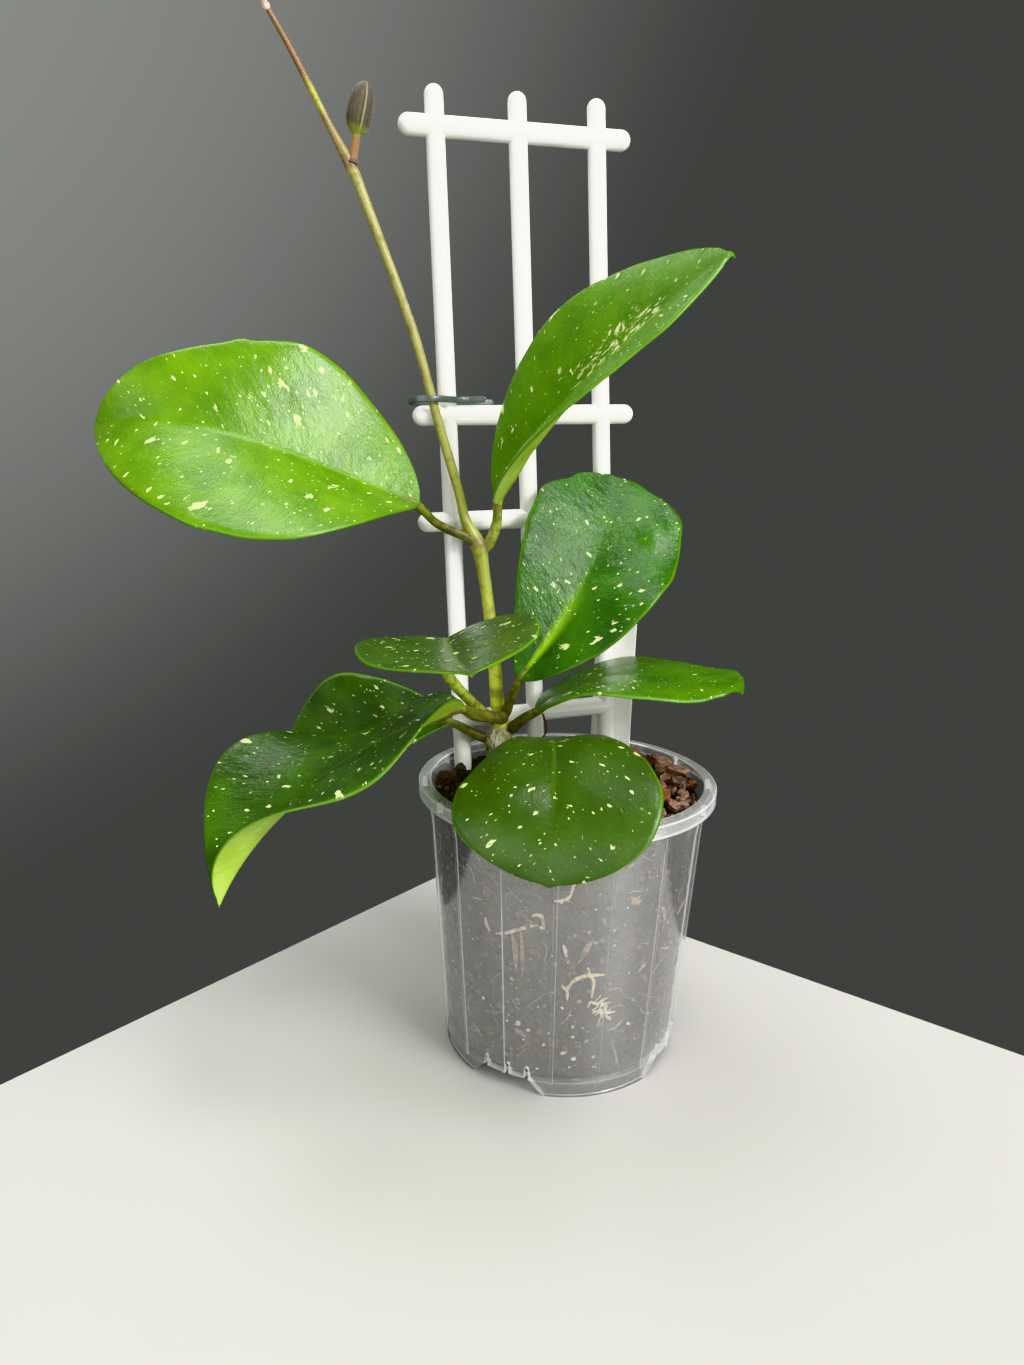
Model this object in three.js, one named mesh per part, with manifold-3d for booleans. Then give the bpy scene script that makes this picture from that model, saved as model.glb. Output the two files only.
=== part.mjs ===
// A hoya in a clear nursery pot, tied to a white moulded trellis.
// Millimetres, +Z up. The origin is the middle of the pot's underside.
// X runs along the trellis, Y from the front of the plant to its back.
import * as THREE from "three";
import { mergeVertices } from "three/addons/utils/BufferGeometryUtils.js";
import Module from "manifold-3d";

const wasm = await Module();
wasm.setup();

// ---- driving dimensions -------------------------------------------------
const GAP = 0.3; // air left between pieces that touch
const ROUND = 48; // sides of everything turned about the pot's axis

const POT_HEIGHT = 124.5;
const RIM_RADIUS = 65;
const BASE_RADIUS = 52.7;
const WALL_TOP_RADIUS = 61;
const WALL = 1.4;
const RIM_SKIRT = 6;
const FLOOR_TOP = 9; // height of the raised floor inside
const FOOT_RADIUS = 20; // flat foot under the middle of the floor
const NOTCH_HEIGHT = FLOOR_TOP - WALL;
const NOTCH_FIRST = -136; // degrees from +X to the first drain notch
const RIB_COUNT = 16; // upright ribs on the wall, one over each notch
const WEB_COUNT = 12; // webs in the hollow under the rim, in step with the ribs
const SOIL_LEVEL = 116.5;

const ROD_DIAMETER = 8;
const BAR_DIAMETER = 8.6;
const ROD_SPACING = 36;
const BAR_OVERHANG = 15.6;
const ROD_TOP = 411;
const ROD_BOTTOM = 62;
const BAR_HEIGHTS = [395.1, 279.2, 233.5, 142.9];
const TRELLIS_FOOT = [2.6, 30, 0];
const TRELLIS_LEAN = 1.84; // degrees towards -X
const TRELLIS_TILT = 4; // degrees towards +Y

const BLADE_THICKNESS = 1.5;

// ---- colours ------------------------------------------------------------
function material(colour, roughness, opacity = 1) {
  const made = new THREE.MeshStandardMaterial({ color: colour, roughness, metalness: 0 });
  made.opacity = opacity;
  made.transparent = opacity < 1;
  return made;
}

const CLEAR_PLASTIC = material(0xd8dcdc, 0.15, 0.35);
const WHITE_PLASTIC = material(0xf0f0ec, 0.35);
const CLIP_PLASTIC = material(0x4d5a55, 0.3);
const PEAT = material(0x3a2a20, 0.95);
const BARK = material(0x6b3f2a, 0.9);
const ROOT = material(0xc2a987, 0.8);
const STEM = material(0x7d8240, 0.5);
const BUD_SKIN = material(0x6d6a3c, 0.55);
const LEAF = material(0x4f8f2c, 0.35);

const part = new THREE.Group();
part.name = "potted_hoya";

function add(name, geometry, surface) {
  const mesh = new THREE.Mesh(geometry, surface);
  mesh.name = name;
  part.add(mesh);
}

// ---- solids -------------------------------------------------------------
function toSolid(geometry) {
  const bare = geometry.clone();
  bare.deleteAttribute("normal");
  bare.deleteAttribute("uv");
  const merged = mergeVertices(bare, 1e-4);
  return new wasm.Manifold(new wasm.Mesh({
    numProp: 3,
    vertProperties: new Float32Array(merged.attributes.position.array),
    triVerts: new Uint32Array(merged.index.array),
  }));
}

function toGeometry(solid) {
  const mesh = solid.getMesh();
  const geometry = new THREE.BufferGeometry();
  geometry.setAttribute("position", new THREE.BufferAttribute(new Float32Array(mesh.vertProperties), 3));
  geometry.setIndex(new THREE.BufferAttribute(new Uint32Array(mesh.triVerts), 1));
  geometry.computeVertexNormals();
  return geometry;
}

function joined(geometries) {
  return geometries.map(toSolid).reduce((whole, piece) => whole.add(piece));
}

// A profile of [radius, height] turned about the Z axis.
function turned(profile, sides = ROUND) {
  const points = profile.map(([radius, height]) => new THREE.Vector2(radius, height));
  return new THREE.LatheGeometry(points, sides).rotateX(Math.PI / 2);
}

function enclosedVolume(positions, index) {
  const corner = (at) => new THREE.Vector3().fromArray(positions, 3 * index[at]);
  let sixfold = 0;
  for (let at = 0; at < index.length; at += 3) {
    sixfold += corner(at).dot(corner(at + 1).cross(corner(at + 2)));
  }
  return sixfold / 6;
}

// A closed solid from rows of points: every row is one ring, ends are capped.
// The rings may run either way round: the faces are turned to point outwards.
function ringsToGeometry(rings) {
  const sides = rings[0].length;
  const positions = [];
  const index = [];
  rings.forEach((ring) => ring.forEach((point) => positions.push(point.x, point.y, point.z)));
  for (let row = 0; row < rings.length - 1; row += 1) {
    for (let side = 0; side < sides; side += 1) {
      const here = row * sides + side;
      const next = row * sides + ((side + 1) % sides);
      index.push(here, next, here + sides, next, next + sides, here + sides);
    }
  }
  [0, rings.length - 1].forEach((row) => {
    const middle = rings[row].reduce((sum, point) => sum.add(point), new THREE.Vector3());
    middle.divideScalar(sides);
    const hub = positions.length / 3;
    positions.push(middle.x, middle.y, middle.z);
    for (let side = 0; side < sides; side += 1) {
      const here = row * sides + side;
      const next = row * sides + ((side + 1) % sides);
      if (row === 0) index.push(hub, next, here);
      else index.push(hub, here, next);
    }
  });
  if (enclosedVolume(positions, index) < 0) index.reverse();
  const geometry = new THREE.BufferGeometry();
  geometry.setAttribute("position", new THREE.Float32BufferAttribute(positions, 3));
  geometry.setIndex(index);
  geometry.computeVertexNormals();
  return geometry;
}

// A round stem along a smooth path. Each knot is [x, y, z, diameter].
function stalk(knots, sides, steps) {
  const path = new THREE.CatmullRomCurve3(knots.map(([x, y, z]) => new THREE.Vector3(x, y, z)));
  const girth = new THREE.CatmullRomCurve3(knots.map((knot) => new THREE.Vector3(knot[3], 0, 0)));
  const frames = path.computeFrenetFrames(steps, false);
  const rings = [];
  for (let step = 0; step <= steps; step += 1) {
    const along = path.getUtoTmapping(step / steps);
    const centre = path.getPoint(along);
    const radius = girth.getPoint(along).x / 2;
    const ring = [];
    for (let side = 0; side < sides; side += 1) {
      const angle = (2 * Math.PI * side) / sides;
      ring.push(centre.clone()
        .addScaledVector(frames.normals[step], radius * Math.cos(angle))
        .addScaledVector(frames.binormals[step], radius * Math.sin(angle)));
    }
    rings.push(ring);
  }
  return ringsToGeometry(rings);
}

// ---- pot ----------------------------------------------------------------
function wallRadius(height) {
  return BASE_RADIUS + (WALL_TOP_RADIUS - BASE_RADIUS) * (height / POT_HEIGHT);
}

function potBody() {
  const rimTop = POT_HEIGHT;
  const skirtBottom = rimTop - RIM_SKIRT;
  const underFloor = FLOOR_TOP - WALL;
  const inner = (height) => wallRadius(height) - WALL;
  const steps = [110.5, 113, 115.5].flatMap((height, count) => [
    [wallRadius(height) + 0.25 * count, height],
    [wallRadius(height) + 0.25 * (count + 1), height],
  ]);
  return turned([
    [0, 0],
    [FOOT_RADIUS, 0],
    [FOOT_RADIUS + 4, underFloor],
    [inner(0) - 0.4, underFloor],
    [inner(0) - 0.4, 0],
    [BASE_RADIUS, 0],
    ...steps,
    [wallRadius(rimTop - WALL) + 0.6, rimTop - WALL - 0.6],
    [RIM_RADIUS - WALL, rimTop - WALL],
    [RIM_RADIUS - WALL, skirtBottom],
    [RIM_RADIUS, skirtBottom],
    [RIM_RADIUS, rimTop - 1],
    [RIM_RADIUS - 0.6, rimTop - 0.4],
    [RIM_RADIUS - 2.6, rimTop - 0.4],
    [RIM_RADIUS - 3, rimTop],
    [inner(rimTop) + 0.4, rimTop],
    [inner(rimTop), rimTop - 0.6],
    [inner(FLOOR_TOP), FLOOR_TOP],
    [FOOT_RADIUS + 3, FLOOR_TOP],
    [FOOT_RADIUS - 1, WALL],
    [0, WALL],
  ]);
}

// One of the upright ribs that stiffen the wall, as a slab that leans with it.
function wallRib(degrees) {
  const low = 1;
  const high = POT_HEIGHT - RIM_SKIRT;
  const slab = new THREE.BoxGeometry(1.2, 1.8, high - low);
  const slope = Math.atan2(wallRadius(high) - wallRadius(low), high - low);
  slab.rotateY(slope);
  slab.translate((wallRadius(low) + wallRadius(high)) / 2 - 0.15, 0, (low + high) / 2);
  return slab.rotateZ(THREE.MathUtils.degToRad(degrees));
}

// A web across the hollow under the rim.
function rimWeb(degrees) {
  const inside = WALL_TOP_RADIUS - 0.4;
  const outside = RIM_RADIUS - 0.7;
  const web = new THREE.BoxGeometry(outside - inside, 1.2, RIM_SKIRT - 1);
  web.translate((inside + outside) / 2, 0, POT_HEIGHT - WALL / 2 - (RIM_SKIRT - 1) / 2);
  return web.rotateZ(THREE.MathUtils.degToRad(degrees));
}

// An outline in (across, height), cut straight outwards through the wall.
function wallCutter(outline, from, to, degrees) {
  const shape = new THREE.Shape(outline.map(([across, height]) => new THREE.Vector2(across, height)));
  const cutter = new THREE.ExtrudeGeometry(shape, { depth: to - from, bevelEnabled: false });
  cutter.rotateX(Math.PI / 2);
  cutter.rotateZ(Math.PI / 2);
  cutter.translate(from, 0, 0);
  return cutter.rotateZ(THREE.MathUtils.degToRad(degrees));
}

function drainCutters(degrees) {
  const bottomHalf = 18;
  const topHalf = 10.5;
  const notch = [[-bottomHalf, -1], [bottomHalf, -1], [topHalf, NOTCH_HEIGHT], [-topHalf, NOTCH_HEIGHT]];
  const slotHalf = 0.8;
  const slotTop = 13;
  const slots = [-9, 1.6, 10.2].map((across) => [
    [across - slotHalf, NOTCH_HEIGHT - 1],
    [across + slotHalf, NOTCH_HEIGHT - 1],
    [across + slotHalf, slotTop - 1],
    [across, slotTop],
    [across - slotHalf, slotTop - 1],
  ]);
  return [
    wallCutter(notch, 46, 60, degrees),
    ...slots.map((slot) => wallCutter(slot, 49.5, 60, degrees)),
  ];
}

function pot() {
  const around = (count) => Array.from({ length: count }, (_, which) => NOTCH_FIRST + (360 * which) / count);
  const ribs = around(RIB_COUNT).map(wallRib);
  const webs = around(WEB_COUNT).map(rimWeb);
  const cutters = around(4).flatMap(drainCutters);
  return toGeometry(joined([potBody(), ...ribs, ...webs]).subtract(joined(cutters)));
}

// ---- trellis ------------------------------------------------------------
const trellisUp = new THREE.Vector3(
  -Math.tan(THREE.MathUtils.degToRad(TRELLIS_LEAN)),
  Math.tan(THREE.MathUtils.degToRad(TRELLIS_TILT)),
  1,
).normalize();
const trellisAcross = new THREE.Vector3(1, 0, 0)
  .addScaledVector(trellisUp, -trellisUp.x)
  .normalize();
const trellisFrame = new THREE.Matrix4()
  .makeBasis(trellisAcross, trellisUp.clone().cross(trellisAcross), trellisUp)
  .setPosition(new THREE.Vector3(...TRELLIS_FOOT));

// A round rod in the trellis's own flat frame, with rounded ends.
function rod(diameter, from, to, grow = 0) {
  const radius = diameter / 2 + grow;
  const length = Math.hypot(to[0] - from[0], to[1] - from[1]) - diameter;
  const capsule = new THREE.CapsuleGeometry(radius, length, 3, 12);
  if (from[0] === to[0]) capsule.rotateX(Math.PI / 2);
  else capsule.rotateZ(Math.PI / 2);
  return capsule
    .translate((from[0] + to[0]) / 2, 0, (from[1] + to[1]) / 2)
    .applyMatrix4(trellisFrame);
}

function uprights(grow = 0) {
  return [-1, 0, 1].map((column) => {
    const across = column * ROD_SPACING;
    return rod(ROD_DIAMETER, [across, ROD_BOTTOM], [across, ROD_TOP], grow);
  });
}

function trellis() {
  const reach = ROD_SPACING + BAR_OVERHANG;
  const [top, clipBar, nodeBar, lowest] = BAR_HEIGHTS;
  const bars = [top, clipBar, nodeBar].map((height) => (
    rod(BAR_DIAMETER, [-reach, height], [reach, height])
  ));
  const inset = ROD_SPACING + BAR_DIAMETER / 2;
  bars.push(rod(BAR_DIAMETER, [-inset, lowest], [inset, lowest]));
  return toGeometry(joined([...uprights(), ...bars]));
}

// ---- plant label --------------------------------------------------------
// It stands behind the right rod, against the wall, and leans out with it.
const LABEL = {
  width: 20,
  length: 125,
  point: 14, // length of the tapered end that is pushed into the mix
  thickness: 0.9,
  bottom: 88,
  azimuth: 47.7, // degrees from +X
  radius: 56.6, // from the pot's axis, at the soil's surface
  lean: 2.2, // degrees outwards
};

function labelPlate(grow = 0) {
  const half = LABEL.width / 2 + grow;
  const top = LABEL.length + grow;
  const corner = 3;
  const outline = new THREE.Shape();
  outline.moveTo(-half, LABEL.point);
  outline.lineTo(-2, -grow);
  outline.lineTo(2, -grow);
  outline.lineTo(half, LABEL.point);
  outline.lineTo(half, top - corner);
  outline.lineTo(half - corner, top);
  outline.lineTo(corner - half, top);
  outline.lineTo(-half, top - corner);
  const depth = LABEL.thickness + 2 * grow;
  const plate = new THREE.ExtrudeGeometry(outline, { depth, bevelEnabled: false });
  const lean = THREE.MathUtils.degToRad(LABEL.lean);
  const outset = LABEL.radius - (SOIL_LEVEL - LABEL.bottom) * Math.tan(lean);
  return plate
    .rotateX(Math.PI / 2)
    .translate(0, depth / 2, 0)
    .rotateX(-lean)
    .translate(0, outset, LABEL.bottom)
    .rotateZ(THREE.MathUtils.degToRad(LABEL.azimuth - 90));
}

// ---- clip that ties the stem to the left rod ----------------------------
// Its open band starts at the front tab, goes round both and ends at the back.
const CLIP_PATH = [
  [15.5, -8], [11.5, -6.4], [7, -5.4], [2, -6.6], [-3, -9.6], [-9, -11.4], [-14.5, -9.6],
  [-17.2, -5], [-16.6, -1], [-13, 3.2], [-7, 5.6], [0, 6.2], [7, 5.4], [15, 5], [23, 6.4],
];
const CLIP_BAND = { thick: 1.1, tall: 2.8, steps: 34 };

function stemClip() {
  const path = new THREE.CatmullRomCurve3(CLIP_PATH.map(([x, y]) => new THREE.Vector3(x, y, 0)));
  const rest = BAR_HEIGHTS[1] + BAR_DIAMETER / 2 + CLIP_BAND.tall / 2 + GAP;
  const centre = new THREE.Vector3(-ROD_SPACING, 0, rest);
  const corners = [[-1, -1], [1, -1], [1, 1], [-1, 1]];
  const rings = [];
  for (let step = 0; step <= CLIP_BAND.steps; step += 1) {
    const point = path.getPointAt(step / CLIP_BAND.steps);
    const tangent = path.getTangentAt(step / CLIP_BAND.steps);
    const side = new THREE.Vector3(-tangent.y, tangent.x, 0);
    rings.push(corners.map(([across, up]) => point.clone()
      .addScaledVector(side, (across * CLIP_BAND.thick) / 2)
      .add(new THREE.Vector3(0, 0, (up * CLIP_BAND.tall) / 2))
      .add(centre)));
  }
  return ringsToGeometry(rings).applyMatrix4(trellisFrame);
}

// ---- stem ---------------------------------------------------------------
// Knots are [x, y, z, diameter], from the soil to the growing tip.
const WOODY_BASE = [
  [-20, 30, 100, 9],
  [-20.5, 30, 117, 10.5],
  [-21.8, 29.8, 127, 11],
];
const MAIN_STEM = [
  ...WOODY_BASE,
  [-23.2, 29.4, 134.5, 10.4],
  [-21.4, 30.2, 141.5, 6.8],
  [-22.4, 30.8, 147, 6.6],
  [-23.4, 31.5, 153, 6.2],
  [-25, 32, 175, 5.8],
  [-29.5, 33.5, 209, 5.4],
  [-32, 34.5, 222, 7],
  [-37.6, 35.5, 233, 4.4],
  [-40.4, 38, 246, 3.8],
  [-48.4, 42, 275, 3.4],
  [-59.6, 43, 313, 3.3],
  [-77.7, 44, 359, 3.1],
  [-83, 44, 371.5, 3.6],
  [-91.3, 43.5, 385, 2.6],
  [-104, 42, 407, 2.3],
  [-113.4, 40, 421, 1.8],
];

function mainStem() {
  return stalk(MAIN_STEM, 9, 54);
}

function woodyBaseHollow() {
  const wider = WOODY_BASE.map(([x, y, z, diameter]) => [x, y, z, diameter + 2 * GAP]);
  wider[0][2] -= GAP;
  return stalk(wider, 9, 8);
}

// The bud: two young leaves folded together on a short stalk.
const BUD = [
  [-82, 41.2, 375, 2.6],
  [-81.6, 41, 379, 2.4],
  [-81.2, 41, 383, 3],
  [-80.7, 41, 385.5, 6],
  [-79.8, 41, 391, 9],
  [-78.4, 41, 397, 8],
  [-77.2, 41, 401, 2],
];

// ---- leaves -------------------------------------------------------------
// Each leaf is a stalk and a blade that grew as one. Angles are in degrees.
// heading is measured from +X towards +Y, rise above the horizon and roll
// about the midrib, all where the blade starts. sweep bends the midrib
// sideways, droop and hook bend it down and twist rolls it, over its length.
// cup lifts both halves from the midrib at [base, extra in the middle, tip]
// and curl turns the margins down. wave ripples the [left, right] margins.
const LEAVES = [
  {
    name: "leaf_1",
    petiole: [[-38.6, 33.3, 226.4, 4.2], [-51.2, 30, 232, 3.8]],
    base: [-60.3, 24.5, 240.7], heading: 170, rise: 19, roll: -36,
    length: 136, halfWidth: 49.5, skew: 0.15, widest: 0.44, fullness: 0.73,
    sweep: 16, droop: -34, hook: 90, twist: -32,
    cup: [33, -3, 14], curl: 4, wave: [0, 3.1], ripples: 1.77, phase: 0.5,
  },
  {
    name: "leaf_2",
    petiole: [[-27.4, 33.3, 223.2, 4.4], [-24.6, 31.6, 232, 4.6]],
    base: [-25.8, 29.1, 241.4], heading: -66, rise: 48, roll: 62,
    length: 139, halfWidth: 39.5, skew: 0.01, widest: 0.52, fullness: 0.64,
    sweep: -10, droop: 16, hook: 1, twist: -13,
    cup: [43, 3, 11], curl: 15, wave: [1.1, 0.2], ripples: 1.63, phase: 0.47,
  },
  {
    name: "leaf_3",
    petiole: [[-20.4, 26.4, 147.6, 4.4], [-19.8, 20.6, 156, 4]],
    base: [-18.4, 15.1, 165.4], heading: -11, rise: 50, roll: 57,
    length: 107, halfWidth: 36, skew: -0.04, widest: 0.65, fullness: 0.4,
    sweep: 39, droop: 26, hook: 2, twist: 26,
    cup: [28, 5, 7], curl: 6, wave: [0.8, 4.7], ripples: 2.18, phase: 0.21,
  },
  {
    name: "leaf_4",
    petiole: [[-17, 26.8, 139.8, 5], [-14.6, 18, 146.4, 4.4]],
    base: [-11.4, 8.9, 152.7], heading: 0, rise: 40, roll: -15,
    length: 93, halfWidth: 36, skew: 0, widest: 0.51, fullness: 0.4,
    sweep: -40, droop: 89, hook: -55, twist: 9,
    cup: [8, 1, 2], curl: 11, wave: [0.9, -0.5], ripples: 1.96, phase: 0.34,
  },
  {
    name: "leaf_5",
    petiole: [[-30.6, 30, 147.4, 5.2], [-43.5, 24, 161.5, 5.6]],
    base: [-51.8, 10.5, 186.1], heading: -101, rise: 3, roll: 12,
    length: 91, halfWidth: 36, skew: -0.04, widest: 0.5, fullness: 0.67,
    sweep: 5, droop: 6, hook: -16, twist: -4,
    cup: [26, -3, 15], curl: 4, wave: [0.7, 1.5], ripples: 1.31, phase: 0.73,
  },
  {
    name: "leaf_6",
    petiole: [[-28.4, 29.2, 134, 4.4], [-36.5, 29.6, 138.4, 4.2]],
    base: [-45, 28.8, 144], heading: 141, rise: -14, roll: -47,
    length: 82, halfWidth: 30.5, skew: -0.05, widest: 0.56, fullness: 0.71,
    sweep: 22, droop: -15, hook: -12, twist: -26,
    cup: [33, 9, 23], curl: -5, wave: [1, 3.5], ripples: 1.8, phase: 0.2,
  },
  {
    name: "leaf_7",
    petiole: [[-24.6, 23.4, 146, 5.6], [-39, 11, 151.8, 5.4]],
    base: [-49.3, -8.3, 161.3], heading: 182, rise: -14, roll: 2,
    length: 124, halfWidth: 42, skew: 0.01, widest: 0.4, fullness: 0.7,
    sweep: 23, droop: 25, hook: 22, twist: 14,
    cup: [42, -49, 77], curl: 13, wave: [-5.8, 22.1], ripples: 0.96, phase: 0.65,
  },
  {
    name: "leaf_8",
    petiole: [[-19.4, 24.6, 132, 4.6], [-13.5, 15, 135, 4.4]],
    base: [-7.2, 5.4, 135.9], heading: -102, rise: 38, roll: -1,
    length: 103, halfWidth: 39, skew: 0.04, widest: 0.71, fullness: 0.52,
    sweep: -20, droop: 105, hook: 9, twist: 10,
    cup: [8, 4, 4], curl: 11, wave: [0.5, 1.6], ripples: 1.9, phase: 0.8,
  },
];
const BLADE_STEPS = 24;

// The midrib as a chain of stations, each with its own set of axes.
function midribStations(leaf) {
  const heading = THREE.MathUtils.degToRad(leaf.heading);
  const rise = THREE.MathUtils.degToRad(leaf.rise);
  const roll = THREE.MathUtils.degToRad(leaf.roll);
  const along = new THREE.Vector3(
    Math.cos(rise) * Math.cos(heading),
    Math.cos(rise) * Math.sin(heading),
    Math.sin(rise),
  );
  const left = new THREE.Vector3(-Math.sin(heading), Math.cos(heading), 0);
  left.applyAxisAngle(along, roll);
  const point = new THREE.Vector3(...leaf.base);
  const stations = [];
  for (let step = 0; step <= BLADE_STEPS; step += 1) {
    const up = along.clone().cross(left);
    stations.push({ point: point.clone(), along: along.clone(), left: left.clone(), up });
    const middle = (step + 0.5) / BLADE_STEPS;
    const bend = leaf.droop + 3 * leaf.hook * middle * middle;
    const turn = (degrees) => THREE.MathUtils.degToRad(degrees) / BLADE_STEPS;
    const before = along.clone();
    along.addScaledVector(up, -turn(bend)).addScaledVector(left, turn(leaf.sweep)).normalize();
    point.addScaledVector(before.add(along), leaf.length / BLADE_STEPS / 2);
    left.addScaledVector(up, turn(leaf.twist));
    left.addScaledVector(along, -left.dot(along)).normalize();
  }
  return stations;
}

function halfWidth(leaf, u) {
  const power = Math.log(0.5) / Math.log(leaf.widest);
  return leaf.halfWidth * Math.sin(Math.PI * u ** power) ** leaf.fullness;
}

// A point of the blade: u from its base to its tip, v from -1 (right) to 1.
function bladePoint(leaf, station, u, v, lift) {
  const side = Math.sign(v);
  const out = Math.abs(v) * halfWidth(leaf, u) * (1 + leaf.skew * side);
  const [cupBase, cupMiddle, cupTip] = leaf.cup;
  const cup = cupBase + (cupTip - cupBase) * u + cupMiddle * 4 * u * (1 - u);
  const slope = THREE.MathUtils.degToRad(cup - (leaf.curl * Math.abs(v)) / 2);
  const swing = Math.sin(2 * Math.PI * (leaf.ripples * u + leaf.phase)) * Math.sin(Math.PI * u);
  const ripple = (v > 0 ? leaf.wave[0] : leaf.wave[1]) * v * v * swing;
  return station.point.clone()
    .addScaledVector(station.left, side * (out * Math.cos(slope) - lift * Math.sin(slope)))
    .addScaledVector(station.up, out * Math.sin(slope) + ripple + lift * Math.cos(slope));
}

function blade(leaf) {
  const stations = midribStations(leaf);
  const across = [-1, -0.62, -0.3, 0, 0.3, 0.62, 1];
  const rows = [0.25, 1.2, 2.6, 4.4, 6.5, 9, 11.5, 14, 16.5, 19, 21, 22.4, 23.3, 23.85];
  const rings = rows.map((row) => {
    const low = Math.floor(row);
    const part = row - low;
    const from = stations[low];
    const to = stations[low + 1];
    const station = {
      point: from.point.clone().lerp(to.point, part),
      left: from.left.clone().lerp(to.left, part),
      up: from.up.clone().lerp(to.up, part),
    };
    const u = row / BLADE_STEPS;
    const skin = (v, face) => {
      const half = (BLADE_THICKNESS / 2) * (1 - 0.5 * v * v);
      return bladePoint(leaf, station, u, v, face * half);
    };
    const upper = across.map((v) => skin(v, 1));
    const lower = [...across].reverse().map((v) => skin(v, -1));
    return [...upper, ...lower];
  });
  return { solid: ringsToGeometry(rings), stations };
}

function leaf(shape) {
  const { solid, stations } = blade(shape);
  const start = stations[0];
  const inside = stations[1];
  const neck = start.point.clone().addScaledVector(start.up, -0.6);
  const root = inside.point.clone().addScaledVector(inside.up, -0.6);
  const petiole = stalk(
    [...shape.petiole, [...neck.toArray(), 3.2], [...root.toArray(), 1.6]],
    8,
    9,
  );
  return toGeometry(joined([solid, petiole]));
}

// ---- potting mix, bark and roots ----------------------------------------
function soilHeight(x, y) {
  const broad = 1.2 * Math.sin(0.11 * x + 1) * Math.cos(0.09 * y);
  const fine = 0.6 * Math.sin(0.3 * x - 0.26 * y + 2);
  return SOIL_LEVEL + broad + fine;
}

// Roots pressed against the wall. Each has one or more strands, given as
// [degrees about the pot, height] knots.
const ROOT_DIAMETER = 1.7;
const WALL_ROOTS = [
  [[[-146.5, 86], [-145.6, 78], [-141.5, 72], [-131.5, 75.8], [-126.5, 79.5], [-119.5, 81]]],
  [[[-104.5, 104], [-107.5, 94.5], [-115, 92], [-118.6, 85.5], [-117.6, 78]]],
  [
    [[-112, 54.5], [-107, 52], [-102.5, 57], [-98, 59], [-90, 57.6], [-86, 52.5]],
    [[-107.2, 52.6], [-107.4, 49.5], [-106.6, 46.5]],
    [[-98, 58.6], [-95.8, 54.5], [-97, 48]],
  ],
  [[[-112, 77], [-110, 72], [-107, 64.5]]],
];

function wallRoot(strands, grow = 0) {
  return toGeometry(joined(strands.map((knots) => {
    const path = knots.map(([degrees, height]) => {
      const radius = wallRadius(height) - WALL - GAP - ROOT_DIAMETER / 2 - 0.15;
      const angle = THREE.MathUtils.degToRad(degrees);
      return [radius * Math.cos(angle), radius * Math.sin(angle), height, ROOT_DIAMETER + 2 * grow];
    });
    return stalk(path, 6, 3 * (knots.length - 1));
  })));
}

function pottingMix() {
  const inner = (height) => wallRadius(height) - WALL - GAP;
  const edge = inner(SOIL_LEVEL);
  const shape = turned([
    [0, WALL + GAP],
    [FOOT_RADIUS - 1.6, WALL + GAP],
    [FOOT_RADIUS + 2.4, FLOOR_TOP + GAP],
    [inner(FLOOR_TOP), FLOOR_TOP + GAP],
    [inner(SOIL_LEVEL - 5), SOIL_LEVEL - 5],
    [edge - 1, SOIL_LEVEL],
    [edge * 0.72, SOIL_LEVEL],
    [edge * 0.4, SOIL_LEVEL],
    [0, SOIL_LEVEL],
  ]);
  const spots = shape.attributes.position;
  for (let spot = 0; spot < spots.count; spot += 1) {
    if (spots.getZ(spot) > SOIL_LEVEL - 1) {
      spots.setZ(spot, soilHeight(spots.getX(spot), spots.getY(spot)));
    }
  }
  const grooves = WALL_ROOTS.map((strands) => wallRoot(strands, GAP));
  const hollows = [...uprights(GAP), labelPlate(GAP), woodyBaseHollow(), ...grooves];
  return toGeometry(toSolid(shape).subtract(joined(hollows)));
}

// Chips of bark lying on the mix: [x, y, degrees, length, width, height].
const BARK_CHIPS = [
  [-49, 22, 40, 14, 9, 4],
  [-47, 3, 100, 12, 8, 4.5],
  [-40, -22, 140, 13, 8, 4],
  [-20, -40, 10, 14, 9, 3.6],
  [6, -46, 170, 12, 8, 4],
  [29, -33, 30, 14, 9, 4],
  [46, -17, 70, 12, 8, 4.4],
  [48, 2, 110, 12, 9, 5],
  [36, 14, 20, 13, 9, 4.6],
  [50, 17, 60, 9, 7, 4],
  [14, 20, 150, 14, 9, 4.2],
  [-9, 52, 5, 12, 7, 4],
  [14, 49, 165, 11, 7, 4],
  [-30, 8, 60, 13, 9, 4],
];

function barkChip([x, y, degrees, length, width, height], which) {
  const corners = 7;
  const layers = [[0, 0.86], [0.45, 1], [1, 0.78]];
  const highest = soilHeight(x, y) + 1.3;
  const rings = layers.map(([level, spread]) => {
    const ring = [];
    for (let corner = 0; corner < corners; corner += 1) {
      const angle = (2 * Math.PI * corner) / corners;
      const ragged = spread * (1 + 0.16 * Math.sin(5.3 * corner + 2.1 * which + 3 * level));
      const lump = level > 0.9 ? 0.5 * Math.sin(2.7 * corner + which) : 0;
      ring.push(new THREE.Vector3(
        (ragged * length * Math.cos(angle)) / 2,
        (ragged * width * Math.sin(angle)) / 2,
        height * level + lump,
      ));
    }
    return ring;
  });
  return ringsToGeometry(rings)
    .rotateZ(THREE.MathUtils.degToRad(degrees))
    .translate(x, y, highest);
}

// A dry aerial root hanging beside the middle rod.
const AERIAL_ROOT = [
  [-1, 31, 143, 0.9],
  [0.4, 31, 139, 1],
  [0.9, 31.4, 135, 1],
  [-1.2, 32, 131, 1],
  [-3.4, 31.6, 128.5, 0.8],
];

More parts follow.
